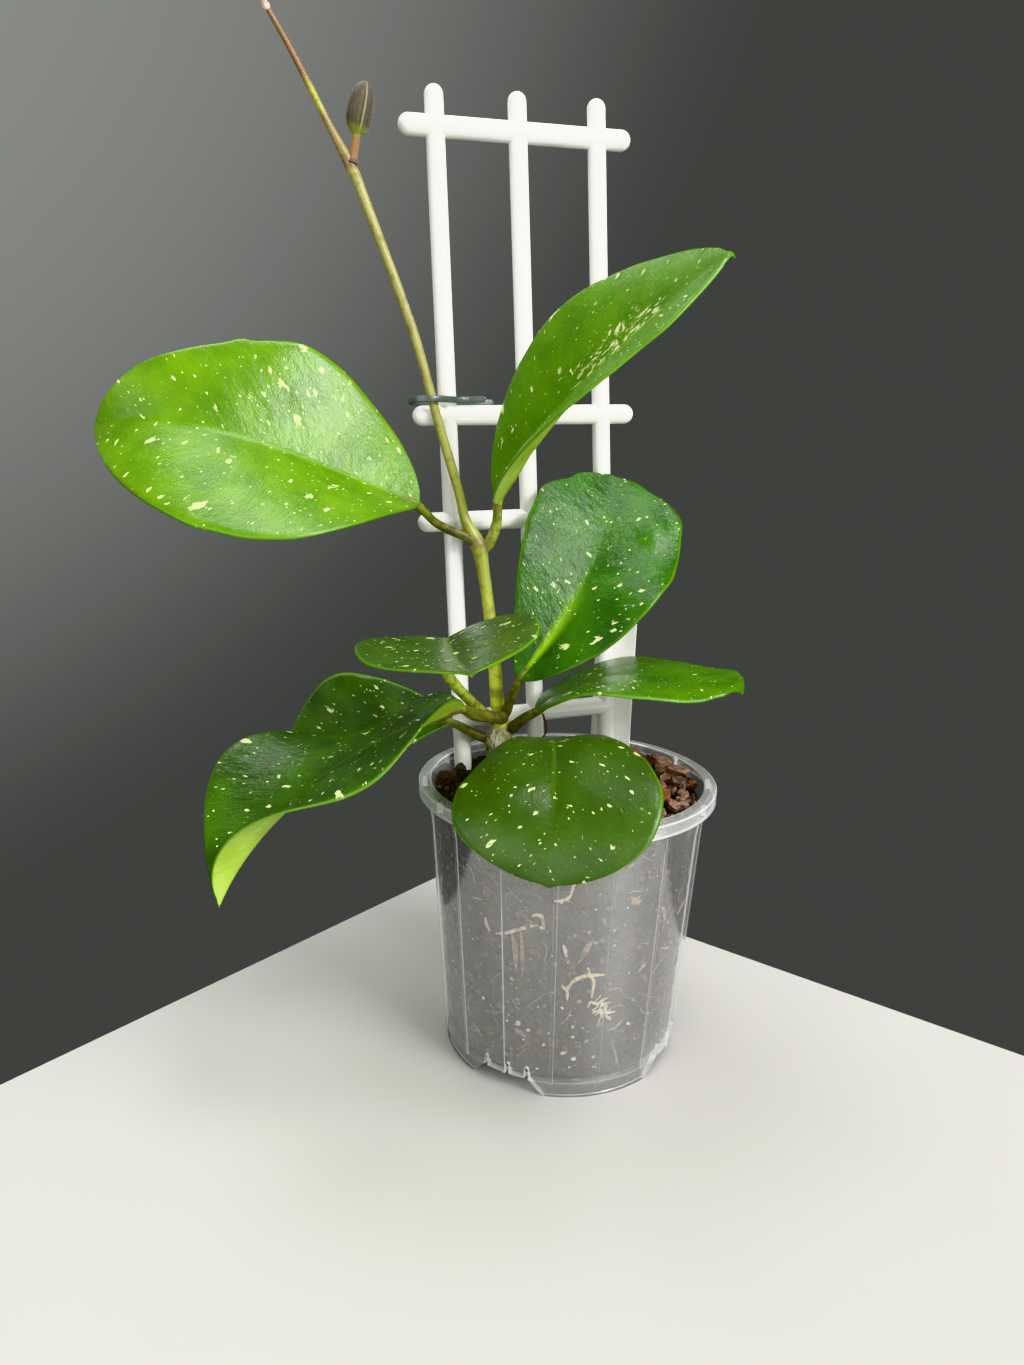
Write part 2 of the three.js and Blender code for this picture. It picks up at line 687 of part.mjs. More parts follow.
// ---- assembly -----------------------------------------------------------
add("pot", pot(), CLEAR_PLASTIC);
add("trellis", trellis(), WHITE_PLASTIC);
add("plant_label", labelPlate(), WHITE_PLASTIC);
add("stem_clip", stemClip(), CLIP_PLASTIC);
add("main_stem", mainStem(), STEM);
add("folded_leaf_bud", stalk(BUD, 10, 14), BUD_SKIN);
LEAVES.forEach((shape) => add(shape.name, leaf(shape), LEAF));
add("potting_mix", pottingMix(), PEAT);
BARK_CHIPS.forEach((chip, which) => add(`bark_chip_${which + 1}`, barkChip(chip, which), BARK));
WALL_ROOTS.forEach((strands, which) => add(`wall_root_${which + 1}`, wallRoot(strands), ROOT));
add("aerial_root", stalk(AERIAL_ROOT, 6, 10), ROOT);

export default part;
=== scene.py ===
# The looks of a hoya in a clear nursery pot, tied to a white moulded trellis.
# Shapes are worked out in millimetres and turned into metres in make_piece.
# +Z is up. The origin is the middle of the pot's underside, X runs along the
# trellis and Y from the front of the plant to its back.
import math

import bmesh
import bpy
import numpy as np
from mathutils import Matrix, Vector


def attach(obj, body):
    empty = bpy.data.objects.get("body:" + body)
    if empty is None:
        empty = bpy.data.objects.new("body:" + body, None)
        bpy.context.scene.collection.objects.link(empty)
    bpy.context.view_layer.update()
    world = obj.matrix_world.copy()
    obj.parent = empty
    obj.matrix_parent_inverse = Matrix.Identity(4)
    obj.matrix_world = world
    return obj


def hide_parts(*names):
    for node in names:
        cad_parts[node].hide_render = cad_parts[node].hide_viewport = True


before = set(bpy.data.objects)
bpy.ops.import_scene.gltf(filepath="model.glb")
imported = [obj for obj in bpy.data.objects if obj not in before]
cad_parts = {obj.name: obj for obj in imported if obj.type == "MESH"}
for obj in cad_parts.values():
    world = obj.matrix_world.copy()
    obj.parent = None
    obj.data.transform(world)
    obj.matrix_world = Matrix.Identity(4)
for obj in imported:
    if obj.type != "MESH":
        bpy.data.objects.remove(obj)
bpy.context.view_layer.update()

MM = 0.001

# ---- sizes shared with the CAD part, in mm ---------------------------------
POT_HEIGHT = 124.5
RIM_RADIUS = 65.0
BASE_RADIUS = 52.7
WALL_TOP_RADIUS = 61.0
WALL = 1.4
RIM_SKIRT = 6.0
FLOOR_TOP = 9.0
FOOT_RADIUS = 20.0
NOTCH_FIRST = -136.0  # degrees round from +X
NOTCH_COUNT = 4
RIB_COUNT = 16
WEB_COUNT = 12
SOIL_LEVEL = 116.5

ROD_DIAMETER = 8.0
BAR_DIAMETER = 8.6
ROD_SPACING = 36.0
BAR_OVERHANG = 15.6
ROD_TOP = 411.0
ROD_BOTTOM = 62.0
BAR_HEIGHTS = (395.1, 279.2, 233.5, 142.9)
TRELLIS_FOOT = (2.6, 30.0, 0.0)
TRELLIS_LEAN = 1.84  # degrees
TRELLIS_TILT = 4.0  # degrees


# ---- meshes ---------------------------------------------------------------
def make_piece(name, points, faces, materials, slots=None, uvs=None, crease=None):
    """A new object from points in mm. uvs is {map name: one (x, y) a point}."""
    mesh = bpy.data.meshes.new(name)
    mesh.from_pydata((np.asarray(points) * MM).tolist(), [], [list(f) for f in faces])
    for material in materials:
        mesh.materials.append(material)
    if slots is not None:
        mesh.polygons.foreach_set("material_index", np.asarray(slots, np.int32))
    corners = np.empty(len(mesh.loops), np.int32)
    mesh.loops.foreach_get("vertex_index", corners)
    for uv_name, values in (uvs or {}).items():
        layer = mesh.uv_layers.new(name=uv_name)
        layer.data.foreach_set("uv", np.asarray(values, np.float32)[corners].ravel())
    mesh.shade_smooth()
    if crease is not None:
        mesh.set_sharp_from_angle(angle=math.radians(crease))
    mesh.validate()
    piece = bpy.data.objects.new(name, mesh)
    bpy.context.scene.collection.objects.link(piece)
    return piece


def settle(piece, slot, *nodes):
    """The piece rides on the only body and stands for the CAD nodes named."""
    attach(piece, "root")
    if nodes:
        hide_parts(*nodes)
    return piece


def closed_faces(rows, sides):
    """Quads between rings of points, and a flat face at each end."""
    last = (rows - 1) * sides
    here = np.arange(last).reshape(-1, sides)
    ahead = np.roll(here, -1, axis=1)
    quads = np.stack([here, ahead, ahead + sides, here + sides], -1).reshape(-1, 4).tolist()
    return [*quads, list(range(sides))[::-1], list(range(last, last + sides))]


def grid_faces(grid):
    """Quads between the points of a grid, given their numbers."""
    return np.stack([grid[:-1, :-1], grid[1:, :-1], grid[1:, 1:], grid[:-1, 1:]], -1).reshape(-1, 4)


def unit_of(vector):
    return vector / np.linalg.norm(vector, axis=-1, keepdims=True)


def circle(count):
    """count angles, evenly spread round a circle."""
    return np.linspace(0, 2 * np.pi, count, endpoint=False)


def polar(radius, angle, height):
    """Points round the pot's axis."""
    return np.stack([radius * np.cos(angle), radius * np.sin(angle), height], -1)


def smooth_path(knots, count):
    """count points, evenly spread along a smooth curve through the knots."""
    knots = np.asarray(knots, float)
    padded = np.vstack([2 * knots[0] - knots[1], knots, 2 * knots[-1] - knots[-2]])
    fine = []
    for at in range(len(knots) - 1):
        a, b, c, d = padded[at:at + 4]
        t = np.linspace(0, 1, 24, endpoint=at == len(knots) - 2)[:, None]
        fine.append(0.5 * (2 * b + (c - a) * t + (2 * a - 5 * b + 4 * c - d) * t**2
                           + (3 * b - a - 3 * c + d) * t**3))
    fine = np.vstack(fine)
    reach = np.concatenate([[0], np.cumsum(np.linalg.norm(np.diff(fine[:, :3], axis=0), axis=1))])
    even = np.linspace(0, reach[-1], count)
    return np.stack([np.interp(even, reach, fine[:, k]) for k in range(fine.shape[1])], -1), even


def path_axes(points):
    """Two directions across a path at each point, turned as little as possible."""
    along = unit_of(np.gradient(points, axis=0))
    first = np.cross(along[0], [0.3, 0.9, 0.1])
    across = []
    for direction in along:
        first = unit_of(first - direction * (first @ direction))
        across.append(first)
    across = np.array(across)
    return across, np.cross(along, across)


def tube(knots, sides, count, shape=None):
    """Points, faces and UVs of a closed tube along [x, y, z, diameter] knots.

    The UVs are the distance along it in units of 100 mm and the share of the
    way round. shape(angle, reach) scales the radius.
    """
    path, reach = smooth_path(knots, count)
    across, other = path_axes(path[:, :3])
    angle = circle(sides)
    radius = np.repeat(path[:, 3:4] / 2, sides, axis=1)
    if shape is not None:
        radius = radius * shape(angle[None, :], reach[:, None])
    ring = across[:, None] * np.cos(angle)[:, None] + other[:, None] * np.sin(angle)[:, None]
    points = path[:, None, :3] + ring * radius[..., None]
    uv = np.stack([np.repeat(reach / 100, sides), np.tile(angle / (2 * np.pi), count)], -1)
    return points.reshape(-1, 3), closed_faces(count, sides), uv


def merge(parts):
    """Joins (points, faces, uv, slot) parts into one set of lists."""
    points, faces, uvs, slots = [], [], [], []
    start = 0
    for part_points, part_faces, part_uv, slot in parts:
        points.append(part_points)
        faces += [[corner + start for corner in face] for face in part_faces]
        uvs.append(part_uv)
        slots += [slot] * len(part_faces)
        start += len(part_points)
    return np.vstack(points), faces, np.vstack(uvs), slots


def apply_boolean(piece, operation, cutters, crease):
    """Cuts away or joins the cutters, which are then removed. crease is in degrees."""
    group = bpy.data.collections.new(piece.name + "_" + operation.lower())
    for cutter in cutters:
        group.objects.link(cutter)
    modifier = piece.modifiers.new("cut", "BOOLEAN")
    modifier.operation = operation
    modifier.operand_type = "COLLECTION"
    modifier.collection = group
    modifier.solver = "EXACT"
    graph = bpy.context.evaluated_depsgraph_get()
    mesh = bpy.data.meshes.new_from_object(piece.evaluated_get(graph))
    piece.modifiers.clear()
    piece.data = mesh
    for cutter in cutters:
        bpy.data.objects.remove(cutter)
    bpy.data.collections.remove(group)
    mesh.shade_smooth()
    mesh.set_sharp_from_angle(angle=math.radians(crease))


def wobble(x, seed, waves=5):
    """A smooth random curve of x between about -1 and 1, the same every run."""
    source = np.random.default_rng(seed)
    total = np.zeros_like(np.asarray(x, float))
    for wave in range(1, waves + 1):
        total = total + np.sin(wave * x + source.uniform(0, 6.28)) / wave**0.7
    return total / 2.2


# ---- materials --------------------------------------------------------------
class Look:
    """A material, or a world, and short names for the nodes that colour it."""

    def __init__(self, name, kind="Material"):
        self.owner = (bpy.data.worlds if kind == "World" else bpy.data.materials).new(name)
        self.owner.use_nodes = True
        self.tree = self.owner.node_tree
        self.tree.nodes.clear()
        self.out = self.node("ShaderNodeOutput" + kind)

    def node(self, kind, inputs=None, **settings):
        made = self.tree.nodes.new(kind)
        for key, value in settings.items():
            setattr(made, key, value)
        for key, value in (inputs or {}).items():
            self.feed(made.inputs[key], value)
        return made

    def feed(self, socket, value):
        if isinstance(value, bpy.types.NodeSocket):
            self.tree.links.new(value, socket)
        elif socket.type == "RGBA" and len(value) == 3:
            socket.default_value = (*value, 1.0)
        else:
            socket.default_value = value

    def math(self, operation, a, b=0.0, c=0.0, clamp=False):
        inputs = {0: a, 1: b, 2: c}
        return self.node("ShaderNodeMath", inputs, operation=operation, use_clamp=clamp).outputs[0]

    def times(self, a, b):
        return self.math("MULTIPLY", a, b)

    def times_plus(self, a, b, c):
        """a times b, plus c."""
        return self.math("MULTIPLY_ADD", a, b, c)

    def apart(self, a, b):
        return self.math("ABSOLUTE", self.math("SUBTRACT", a, b))

    def vector(self, operation, a, b):
        return self.node("ShaderNodeVectorMath", {0: a, 1: b}, operation=operation).outputs[0]

    def step(self, value, low, high):
        """0 below low and 1 above high, with a soft change. low may exceed high."""
        start = 1.0 if low > high else 0.0
        inputs = {"Value": value, "From Min": min(low, high), "From Max": max(low, high),
                  "To Min": start, "To Max": 1.0 - start}
        made = self.node("ShaderNodeMapRange", inputs, interpolation_type="SMOOTHSTEP")
        return made.outputs["Result"]

    def mix(self, factor, a, b):
        inputs = {"Factor": factor, 6: a, 7: b}
        return self.node("ShaderNodeMix", inputs, data_type="RGBA", blend_type="MIX").outputs[2]

    def paint(self, colour, tint, amount, share):
        """The colour, and where amount is 1 that share of the tint over it."""
        return self.mix(self.times(amount, share), colour, tint)

    def uv(self, name):
        return self.node("ShaderNodeUVMap", uv_map=name).outputs["UV"]

    def place(self):
        return self.node("ShaderNodeTexCoord").outputs["Object"]

    def split(self, vector):
        return self.node("ShaderNodeSeparateXYZ", {0: vector}).outputs

    def join(self, x, y, z=0.0):
        return self.node("ShaderNodeCombineXYZ", {0: x, 1: y, 2: z}).outputs[0]

    def scaled(self, vector, scale, shift=(0.0, 0.0, 0.0)):
        inputs = {"Vector": vector, "Scale": scale, "Location": shift}
        return self.node("ShaderNodeMapping", inputs).outputs[0]

    def moved(self, vector, x, y=0.0):
        return self.scaled(vector, (1, 1, 1), (x, y, 0))

    def noise(self, vector, scale, detail=4.0, rough=0.55, distortion=0.0):
        inputs = {"Vector": vector, "Scale": scale, "Detail": detail, "Roughness": rough,
                  "Distortion": distortion}
        return self.node("ShaderNodeTexNoise", inputs).outputs["Fac"]

    def cells(self, vector, scale):
        return self.node("ShaderNodeTexVoronoi", {"Vector": vector, "Scale": scale}).outputs

    def bump(self, height, distance, strength):
        inputs = {"Height": height, "Distance": distance, "Strength": strength}
        return self.node("ShaderNodeBump", inputs).outputs["Normal"]

    def principled(self, colour, roughness, normal=None, **inputs):
        made = self.node("ShaderNodeBsdfPrincipled", {"Base Color": colour, "Roughness": roughness})
        if normal is not None:
            self.feed(made.inputs["Normal"], normal)
        for key, value in inputs.items():
            self.feed(made.inputs[key.replace("_", " ")], value)
        return made.outputs[0]

    def blend(self, share, a, b):
        """Shader a, with that share of shader b over it."""
        return self.node("ShaderNodeMixShader", {0: share, 1: a, 2: b}).outputs[0]

    def finish(self, shader):
        self.feed(self.out.inputs["Surface"], shader)
        return self.owner

    def surface(self, colour, roughness, height, distance, strength, **inputs):
        """The finished material, with height as its relief."""
        normal = self.bump(height, distance, strength)
        return self.finish(self.principled(colour, roughness, normal, **inputs))


def ragged(look, vector, scale, amount):
    """The vector shifted by noise, so that the edges of cells aren't round."""
    shift = look.node("ShaderNodeTexNoise", {"Vector": vector, "Scale": scale, "Detail": 2.0})
    centred = look.vector("SUBTRACT", shift.outputs["Color"], (0.5, 0.5, 0.5))
    return look.vector("ADD", vector, look.vector("MULTIPLY", centred, (amount, amount, amount)))


# ---- leaf materials -----------------------------------------------------------
# UV maps of a blade: "unit" holds (u, v/2 + 0.5), "span" the distance in cm
# along and across it, and "vein" the same turned along the side veins.
CREAM = (0.74, 0.78, 0.36)
# The margin's green: partly its own colour and partly painted rim light, for the light that the thin edge
# catches and lets through.
MARGIN_AND_RIM_LIGHT_GREEN = (0.12, 0.29, 0.02)


def flecks(look, vein, scale, stretch, share, size, seed, holes=0.0):
    """Ragged spots that are drawn out along the veins, most of them small."""
    stretched = look.scaled(vein, (scale / stretch, scale, 1.0), (seed, 1.7 * seed, 0.0))
    rough = ragged(look, ragged(look, stretched, 1.7, 0.7), 6.0, 0.42)
    found = look.cells(rough, 1.0)
    chance = look.split(found["Color"])
    wanted = look.step(chance[0], share + 0.004, share - 0.004)
    growth = look.math("POWER", chance[1], 2.2)
    radius = look.times_plus(growth, 0.75 * size, 0.25 * size)
    inside = look.math("DIVIDE", look.math("SUBTRACT", radius, found["Distance"]), 0.035, clamp=True)
    if holes:
        torn = look.noise(rough, 11.0, 2.0)
        inside = look.times(inside, look.step(torn, holes - 0.03, holes + 0.03))
    return look.times(inside, wanted)


def from_midrib(look, unit):
    """0 on the midrib and 1 at the margins."""
    return look.times(look.apart(unit[1], 0.5), 2.0)


def vein_map(look, unit):
    """The map along the side veins, moved on one half so that the two halves differ."""
    other = look.times(look.math("LESS_THAN", unit[1], 0.5), 37.0)
    return look.vector("ADD", look.uv("vein"), look.join(other, other))


def streaked(look, u, across, span, seed, start, end):
    """Cream streaks near the midrib, from start to end as shares of the blade's length."""
    streaks = look.noise(look.scaled(span, (0.9, 2.2, 1), (seed, 1, 0)), 2.6, 5.0, 0.72)
    along = look.times(look.step(u, start, start + 0.1), look.step(u, end, end - 0.1))
    there = look.times(along, look.step(across, 0.5, 0.06))
    level = look.times_plus(there, -0.17, 0.68)
    lit = look.math("MULTIPLY", look.math("SUBTRACT", streaks, level), 18.0, clamp=True)
    return look.times(lit, look.step(there, 0.0, 0.3))


def upper_look(name, dark, light, seed, spots, blotch=(), lime=0.0, crinkle=0.35, satin=0.27):
    """A glossy flecked leaf. lime is how lime the midrib is near the stalk, satin its roughness."""
    look = Look(name)
    unit = look.split(look.uv("unit"))
    span = look.uv("span")
    vein = vein_map(look, unit)
    across = from_midrib(look, unit)
    mottle = look.noise(look.moved(span, seed), 0.5, 3.0)
    grain = look.noise(look.scaled(vein, (0.6, 1.4, 1), (seed, 0, 0)), 2.0, 4.0, 0.6)
    green = look.mix(look.step(mottle, 0.32, 0.7), dark, light)
    green = look.paint(green, light, look.step(grain, 0.45, 0.7), 0.25)
    # The midrib is a paler line, clearest near the stalk, where it may be lime.
    line = look.times(look.step(across, 0.05, 0.0), look.step(unit[0], 0.9, 0.0))
    green = look.paint(green, (0.16, 0.34, 0.02), line, 0.4)
    if lime:
        band = look.times(look.step(across, 0.2, 0.01), look.step(unit[0], 0.55, 0.05))
        green = look.paint(green, (0.3, 0.55, 0.012), band, lime)
    fine = look.noise(look.scaled(vein, (0.7, 1.3, 1), (seed, 4, 0)), 10.0, 3.0, 0.7)
    patches = look.step(look.noise(look.moved(span, 2 * seed, 9), 0.7, 2.0), 0.4, 0.62)
    dust = look.times(look.step(fine, 0.6, 0.72), patches)
    marks = flecks(look, vein, 0.9, 1.9, 0.25 * spots, 0.25, seed, 0.46)
    layers = ((1.5, 0.38, 0.29, 0.38), (3.2, 0.42, 0.28, 0.0), (7.0, 0.42, 0.27, 0.0))
    for at, (scale, share, size, holes) in enumerate(layers):
        layer = flecks(look, vein, scale, 1.9, share * spots, size, seed + 3.3 * (at + 1), holes)
        marks = look.math("MAXIMUM", marks, layer)
    if blotch:
        marks = look.math("MAXIMUM", marks, streaked(look, unit[0], across, span, seed, *blotch))
    colour = look.paint(green, CREAM, dust, 0.22)
    colour = look.paint(colour, CREAM, marks, 0.85)
    # Painted rim light: a paler green along the margin, partly the margin's own colour.
    colour = look.paint(colour, MARGIN_AND_RIM_LIGHT_GREEN, look.step(across, 0.965, 0.99), 0.6)
    # Fine wrinkles and pores break up the shine.
    wrinkles = look.noise(look.scaled(vein, (0.75, 1.25, 1), (seed, 2, 0)), 3.0, 4.0, 0.6)
    pores = look.noise(span, 12.0, 3.0, 0.65)
    folds = look.noise(look.scaled(vein, (0.8, 1.2, 1), (seed, 6, 0)), 1.2, 3.0, 0.5)
    height = look.times_plus(pores, 0.4, wrinkles)
    height = look.times_plus(folds, 2.4 * crinkle, height)
    rough = look.times_plus(marks, 0.1, satin)
    return look.surface(colour, rough, height, 0.001, crinkle, Specular_IOR_Level=0.42)


def under_look():
    """The pale matt underside, which all the leaves share."""
    look = Look("leaf_underside")
    unit = look.split(look.uv("unit"))
    vein = vein_map(look, unit)
    across = from_midrib(look, unit)
    mottle = look.noise(look.uv("span"), 0.7, 4.0)
    colour = look.mix(look.step(mottle, 0.3, 0.75), (0.26, 0.41, 0.035), (0.36, 0.53, 0.08))
    grain = look.noise(look.scaled(vein, (0.4, 1.8, 1)), 3.0, 4.0, 0.6)
    colour = look.paint(colour, (0.44, 0.6, 0.13), look.step(grain, 0.45, 0.8), 0.3)
    midrib = look.times(look.step(across, 0.07, 0.02), look.step(unit[0], 1.0, 0.2))
    colour = look.paint(colour, (0.34, 0.36, 0.08), midrib, 0.5)
    spots = flecks(look, vein, 1.6, 1.7, 0.12, 0.2, 2.7)
    colour = look.paint(colour, (0.7, 0.75, 0.4), spots, 0.5)
    # The underside's margin takes the same margin green.
    colour = look.mix(look.step(across, 0.9, 0.98), colour, MARGIN_AND_RIM_LIGHT_GREEN)
    return look.surface(colour, 0.42, grain, 0.0004, 0.5)


def stalk_look(name, low, high, blush, seed):
    """Smooth green bark from low to high along it, with brown-purple stains and pale pores."""
    look = Look(name)
    far, around, _ = look.split(look.uv("unit"))
    place = look.moved(look.place(), seed)
    streak = look.noise(look.scaled(look.join(far, around), (2.0, 7.0, 1), (seed, 0, 0)), 2.0, 5.0, 0.6)
    stain = look.noise(place, 300.0, 5.0, 0.65)
    colour = look.mix(look.step(far, 0.0, 0.3), low, high)
    colour = look.paint(colour, blush, look.step(stain, 0.46, 0.57), 0.8)
    colour = look.paint(colour, (0.36, 0.4, 0.12), look.step(streak, 0.5, 0.75), 0.3)
    pores = look.cells(place, 800.0)
    dots = look.step(pores["Distance"], 0.3, 0.14)
    colour = look.paint(colour, (0.4, 0.36, 0.2), dots, 0.3)
    height = look.times_plus(dots, 0.4, streak)
    return look.surface(colour, 0.38, height, 0.0005, 0.6)


# ---- leaves -----------------------------------------------------------------
# The CAD part's figures, a few of them refined. heading, rise and roll say how
# the blade starts; sweep, droop, hook and twist bend it; cup, curl and wave
# shape its two halves; tip is the length of the drawn-out point, how far it
# bends and its breadth. Each edge entry is a swelling of the margin: the share
# of the length, the side, its size and its spread. dome is a swelling of the
# surface. petiole holds the stalk's knots, as x, y, z and diameter.
LEAVES = {
    "leaf_1": dict(
        petiole=((-38.6, 33.3, 226.4, 4.2), (-51.2, 30, 232, 3.8)), root=(-33, 34.6, 223),
        base=(-60.3, 24.5, 240.7), heading=170, rise=19, roll=-36,
        length=136, half_width=49.5, skew=0.15, widest=0.44, fullness=0.73,
        sweep=16, droop=-34, hook=90, twist=-32,
        cup=(33, -3, 14), curl=4, wave=(0, 3.1), ripples=1.77, phase=0.5, tip=(2, 30, 2),
        edge=((0.61, -1, 0.9, 0.02), (0.57, -1, -0.5, 0.015), (0.46, -1, 1.2, 0.08)),
    ),
    "leaf_2": dict(
        petiole=((-27.4, 33.3, 223.2, 4.4), (-24.6, 31.6, 232, 4.6)), root=(-31, 34.5, 219),
        base=(-25.8, 29.1, 241.4), heading=-66, rise=48, roll=62,
        length=139, half_width=39.5, skew=0.01, widest=0.52, fullness=0.64,
        sweep=-10, droop=16, hook=1, twist=-13,
        cup=(43, 3, 11), curl=15, wave=(1.1, 0.2), ripples=1.63, phase=0.47, tip=(3, 130, 2),
        edge=((0.85, -1, 2.5, 0.06),),
    ),
    "leaf_3": dict(
        petiole=((-20.4, 26.4, 147.6, 4.4), (-19.8, 20.6, 156, 4)), root=(-21.6, 29.6, 143.5),
        base=(-18.4, 15.1, 165.4), heading=-11, rise=50, roll=57,
        length=107, half_width=36, skew=-0.04, widest=0.65, fullness=0.4,
        sweep=39, droop=26, hook=2, twist=26,
        cup=(28, 5, 7), curl=6, wave=(0.8, 4.7), ripples=2.18, phase=0.21, tip=(2, 100, 3),
        relief=0.8, groove=0.0, soft=2, dome=(0.76, -24, 2.3, 6.5),
        edge=((0.95, -1, -3, 0.03), (0.84, -1, 1.4, 0.05), (0.93, 1, -2.4, 0.03), (0.83, 1, 1.4, 0.05)),
    ),
    "leaf_4": dict(
        petiole=((-17, 26.8, 139.8, 5), (-14.6, 18, 146.4, 4.4)), root=(-20.4, 28.6, 138),
        base=(-11.4, 8.9, 152.7), heading=0, rise=40, roll=-15,
        length=89, half_width=36, skew=0, widest=0.51, fullness=0.4,
        sweep=-40, droop=89, hook=-55, twist=9,
        cup=(8, 1, 2), curl=11, wave=(0.9, -0.5), ripples=1.96, phase=0.34, tip=(7, 115, 13),
        edge=((0.95, 1, 5.5, 0.05), (0.8, 1, -1.5, 0.06), (0.93, -1, 1.0, 0.04)),
    ),
    "leaf_5": dict(
        petiole=((-31.4, 30, 147.8, 5), (-44.8, 24.4, 162.2, 5.2), (-50.5, 19.5, 171.5, 5.2)),
        root=(-23.5, 31.2, 142),
        base=(-51.8, 10.5, 186.1), heading=-101, rise=3, roll=12,
        length=91, half_width=36, skew=-0.04, widest=0.5, fullness=0.67,
        sweep=5, droop=6, hook=-16, twist=-4,
        cup=(26, -3, 15), sink=2.2, curl=4, wave=(0.7, 1.5), ripples=1.31, phase=0.73, tip=(3.5, 40, 4.5),
    ),
    "leaf_6": dict(
        petiole=((-29, 30.6, 134.4, 4.2), (-36.5, 29.8, 138.4, 4.2)), root=(-25, 31.5, 132.5),
        base=(-45, 28.8, 144), heading=141, rise=-14, roll=-47,
        length=82, half_width=30.5, skew=-0.05, widest=0.56, fullness=0.71,
        sweep=22, droop=-15, hook=-12, twist=-26,
        cup=(33, 9, 23), curl=-5, wave=(1, 3.5), ripples=1.8, phase=0.2, tip=(3, 20, 2),
    ),
    "leaf_7": dict(
        petiole=((-24.6, 23.4, 146, 5.8), (-39, 11, 151.8, 5.4)), root=(-21.6, 28.5, 144.2),
        base=(-49.3, -8.3, 161.3), heading=182, rise=-14, roll=2,
        length=124, half_width=42, skew=0.01, widest=0.4, fullness=0.7,
        sweep=23, droop=25, hook=22, twist=14,
        cup=(42, -49, 77), curl=13, wave=(-5.8, 22.1), ripples=0.96, phase=0.65, tip=(1.2, 10, 2),
    ),
    "leaf_8": dict(
        petiole=((-19.4, 24.6, 132, 4.6), (-13.5, 15, 135, 4.4)), root=(-21.6, 27.6, 130),
        base=(-7.2, 5.4, 135.9), heading=-102, rise=38, roll=-1,
        length=103, half_width=39, skew=0.04, widest=0.71, fullness=0.52,
        sweep=-20, droop=105, hook=9, twist=10,
        cup=(8, 4, 4), curl=11, wave=(0.5, 1.6), ripples=1.9, phase=0.8, tip=(1.2, 10, 3),
        edge=((0.8, -1, 1.2, 0.1),),
    ),
}
BLADE_ROWS = 84
TIP_ROWS = 22
BLADE_HALF = 26
MIDRIB_STEPS = 96
UPPER, UNDER, STALK = range(3)  # a leaf's material slots
VEIN_ANGLE = math.radians(50)
VEIN_SPACING = 13.0


def midrib(leaf):
    """Points and axes along the midrib, and a few more along its drawn-out tip."""
    heading, rise = math.radians(leaf["heading"]), math.radians(leaf["rise"])
    flat = Vector((math.cos(heading), math.sin(heading), 0))
    along = flat * math.cos(rise) + Vector((0, 0, math.sin(rise)))
    left = Vector((-math.sin(heading), math.cos(heading), 0))
    left.rotate(Matrix.Rotation(math.radians(leaf["roll"]), 3, along))
    point = Vector(leaf["base"])
    stations = []
    tip_length, tip_bend, _ = leaf["tip"]
    for step in range(2 * MIDRIB_STEPS):
        up = along.cross(left)
        stations.append((*point, *left, *up))
        middle = (step + 0.5) / MIDRIB_STEPS
        before = along.copy()
        if middle < 1:
            bend = leaf["droop"] + 3 * leaf["hook"] * middle * middle
            turn = math.radians(1) / MIDRIB_STEPS
            along = along - up * (turn * bend) + left * (turn * leaf["sweep"])
            left = left + up * (turn * leaf["twist"])
            stride = leaf["length"] / MIDRIB_STEPS
        else:
            along = along - up * math.radians(tip_bend / MIDRIB_STEPS)
            stride = tip_length / MIDRIB_STEPS
        along.normalize()
        point = point + (before + along) * (stride / 2)
        left = (left - along * left.dot(along)).normalized()
    return np.array(stations)


def half_widths(leaf, u, side, seed):
    """Half the blade's width at u on one side of the midrib, with a drawn-out tip."""
    power = math.log(0.5) / math.log(leaf["widest"])
    inside = np.clip(u, 1e-6, 1 - 1e-6)
    width = leaf["half_width"] * np.sin(np.pi * inside**power) ** leaf["fullness"]
    width = width * (1 + leaf["skew"] * side)
    width = width * (1 + 0.012 * wobble(9 * u + 3 * side, seed, 6))
    for place, where, size, spread in leaf.get("edge", ()):
        width = width + size * np.exp(-((u - place) / spread) ** 2) * (side == where)
    tip_length, _, breadth = leaf["tip"]
    left = np.where(u < 1, (1 - u) * leaf["length"] + tip_length, (2 - u) * tip_length)
    point = breadth * np.minimum(left / tip_length, 1) ** 1.25 + 0.9 * (left - tip_length).clip(0) + 0.12
    width = np.where(u > 0.85, np.maximum(width, point), width)
    return np.maximum(width, 1.8 * np.clip(1 - u / 0.03, 0, 1))


def blade_relief(leaf, u, v, width, span, across, fan, seed):
    """Low swellings between the side veins, an uneven surface and a margin that rolls under."""
    spread = np.sin(np.pi * np.minimum(u, 1)) * np.minimum(1, np.abs(v) * 3) * (1 - v**4)
    veins = np.sin(fan / VEIN_SPACING * 2 * np.pi + 0.9 * wobble(np.abs(across) / 20, seed))
    uneven = wobble(span / 21 + 1.7 * wobble(across / 30, seed + 1), seed + 2, 3)
    relief = 0.1 * spread * veins + leaf.get("relief", 0.4) * spread * uneven
    if "dome" in leaf:
        place, where, size, reach = leaf["dome"]
        away = ((u - place) * leaf["length"]) ** 2 + (across - where) ** 2
        relief = relief + size * np.exp(-away / reach**2)
    rolled = 0.7 * np.minimum(1, width / 9)
    return relief - rolled * ((np.abs(v) - 0.93).clip(0) / 0.07) ** 2


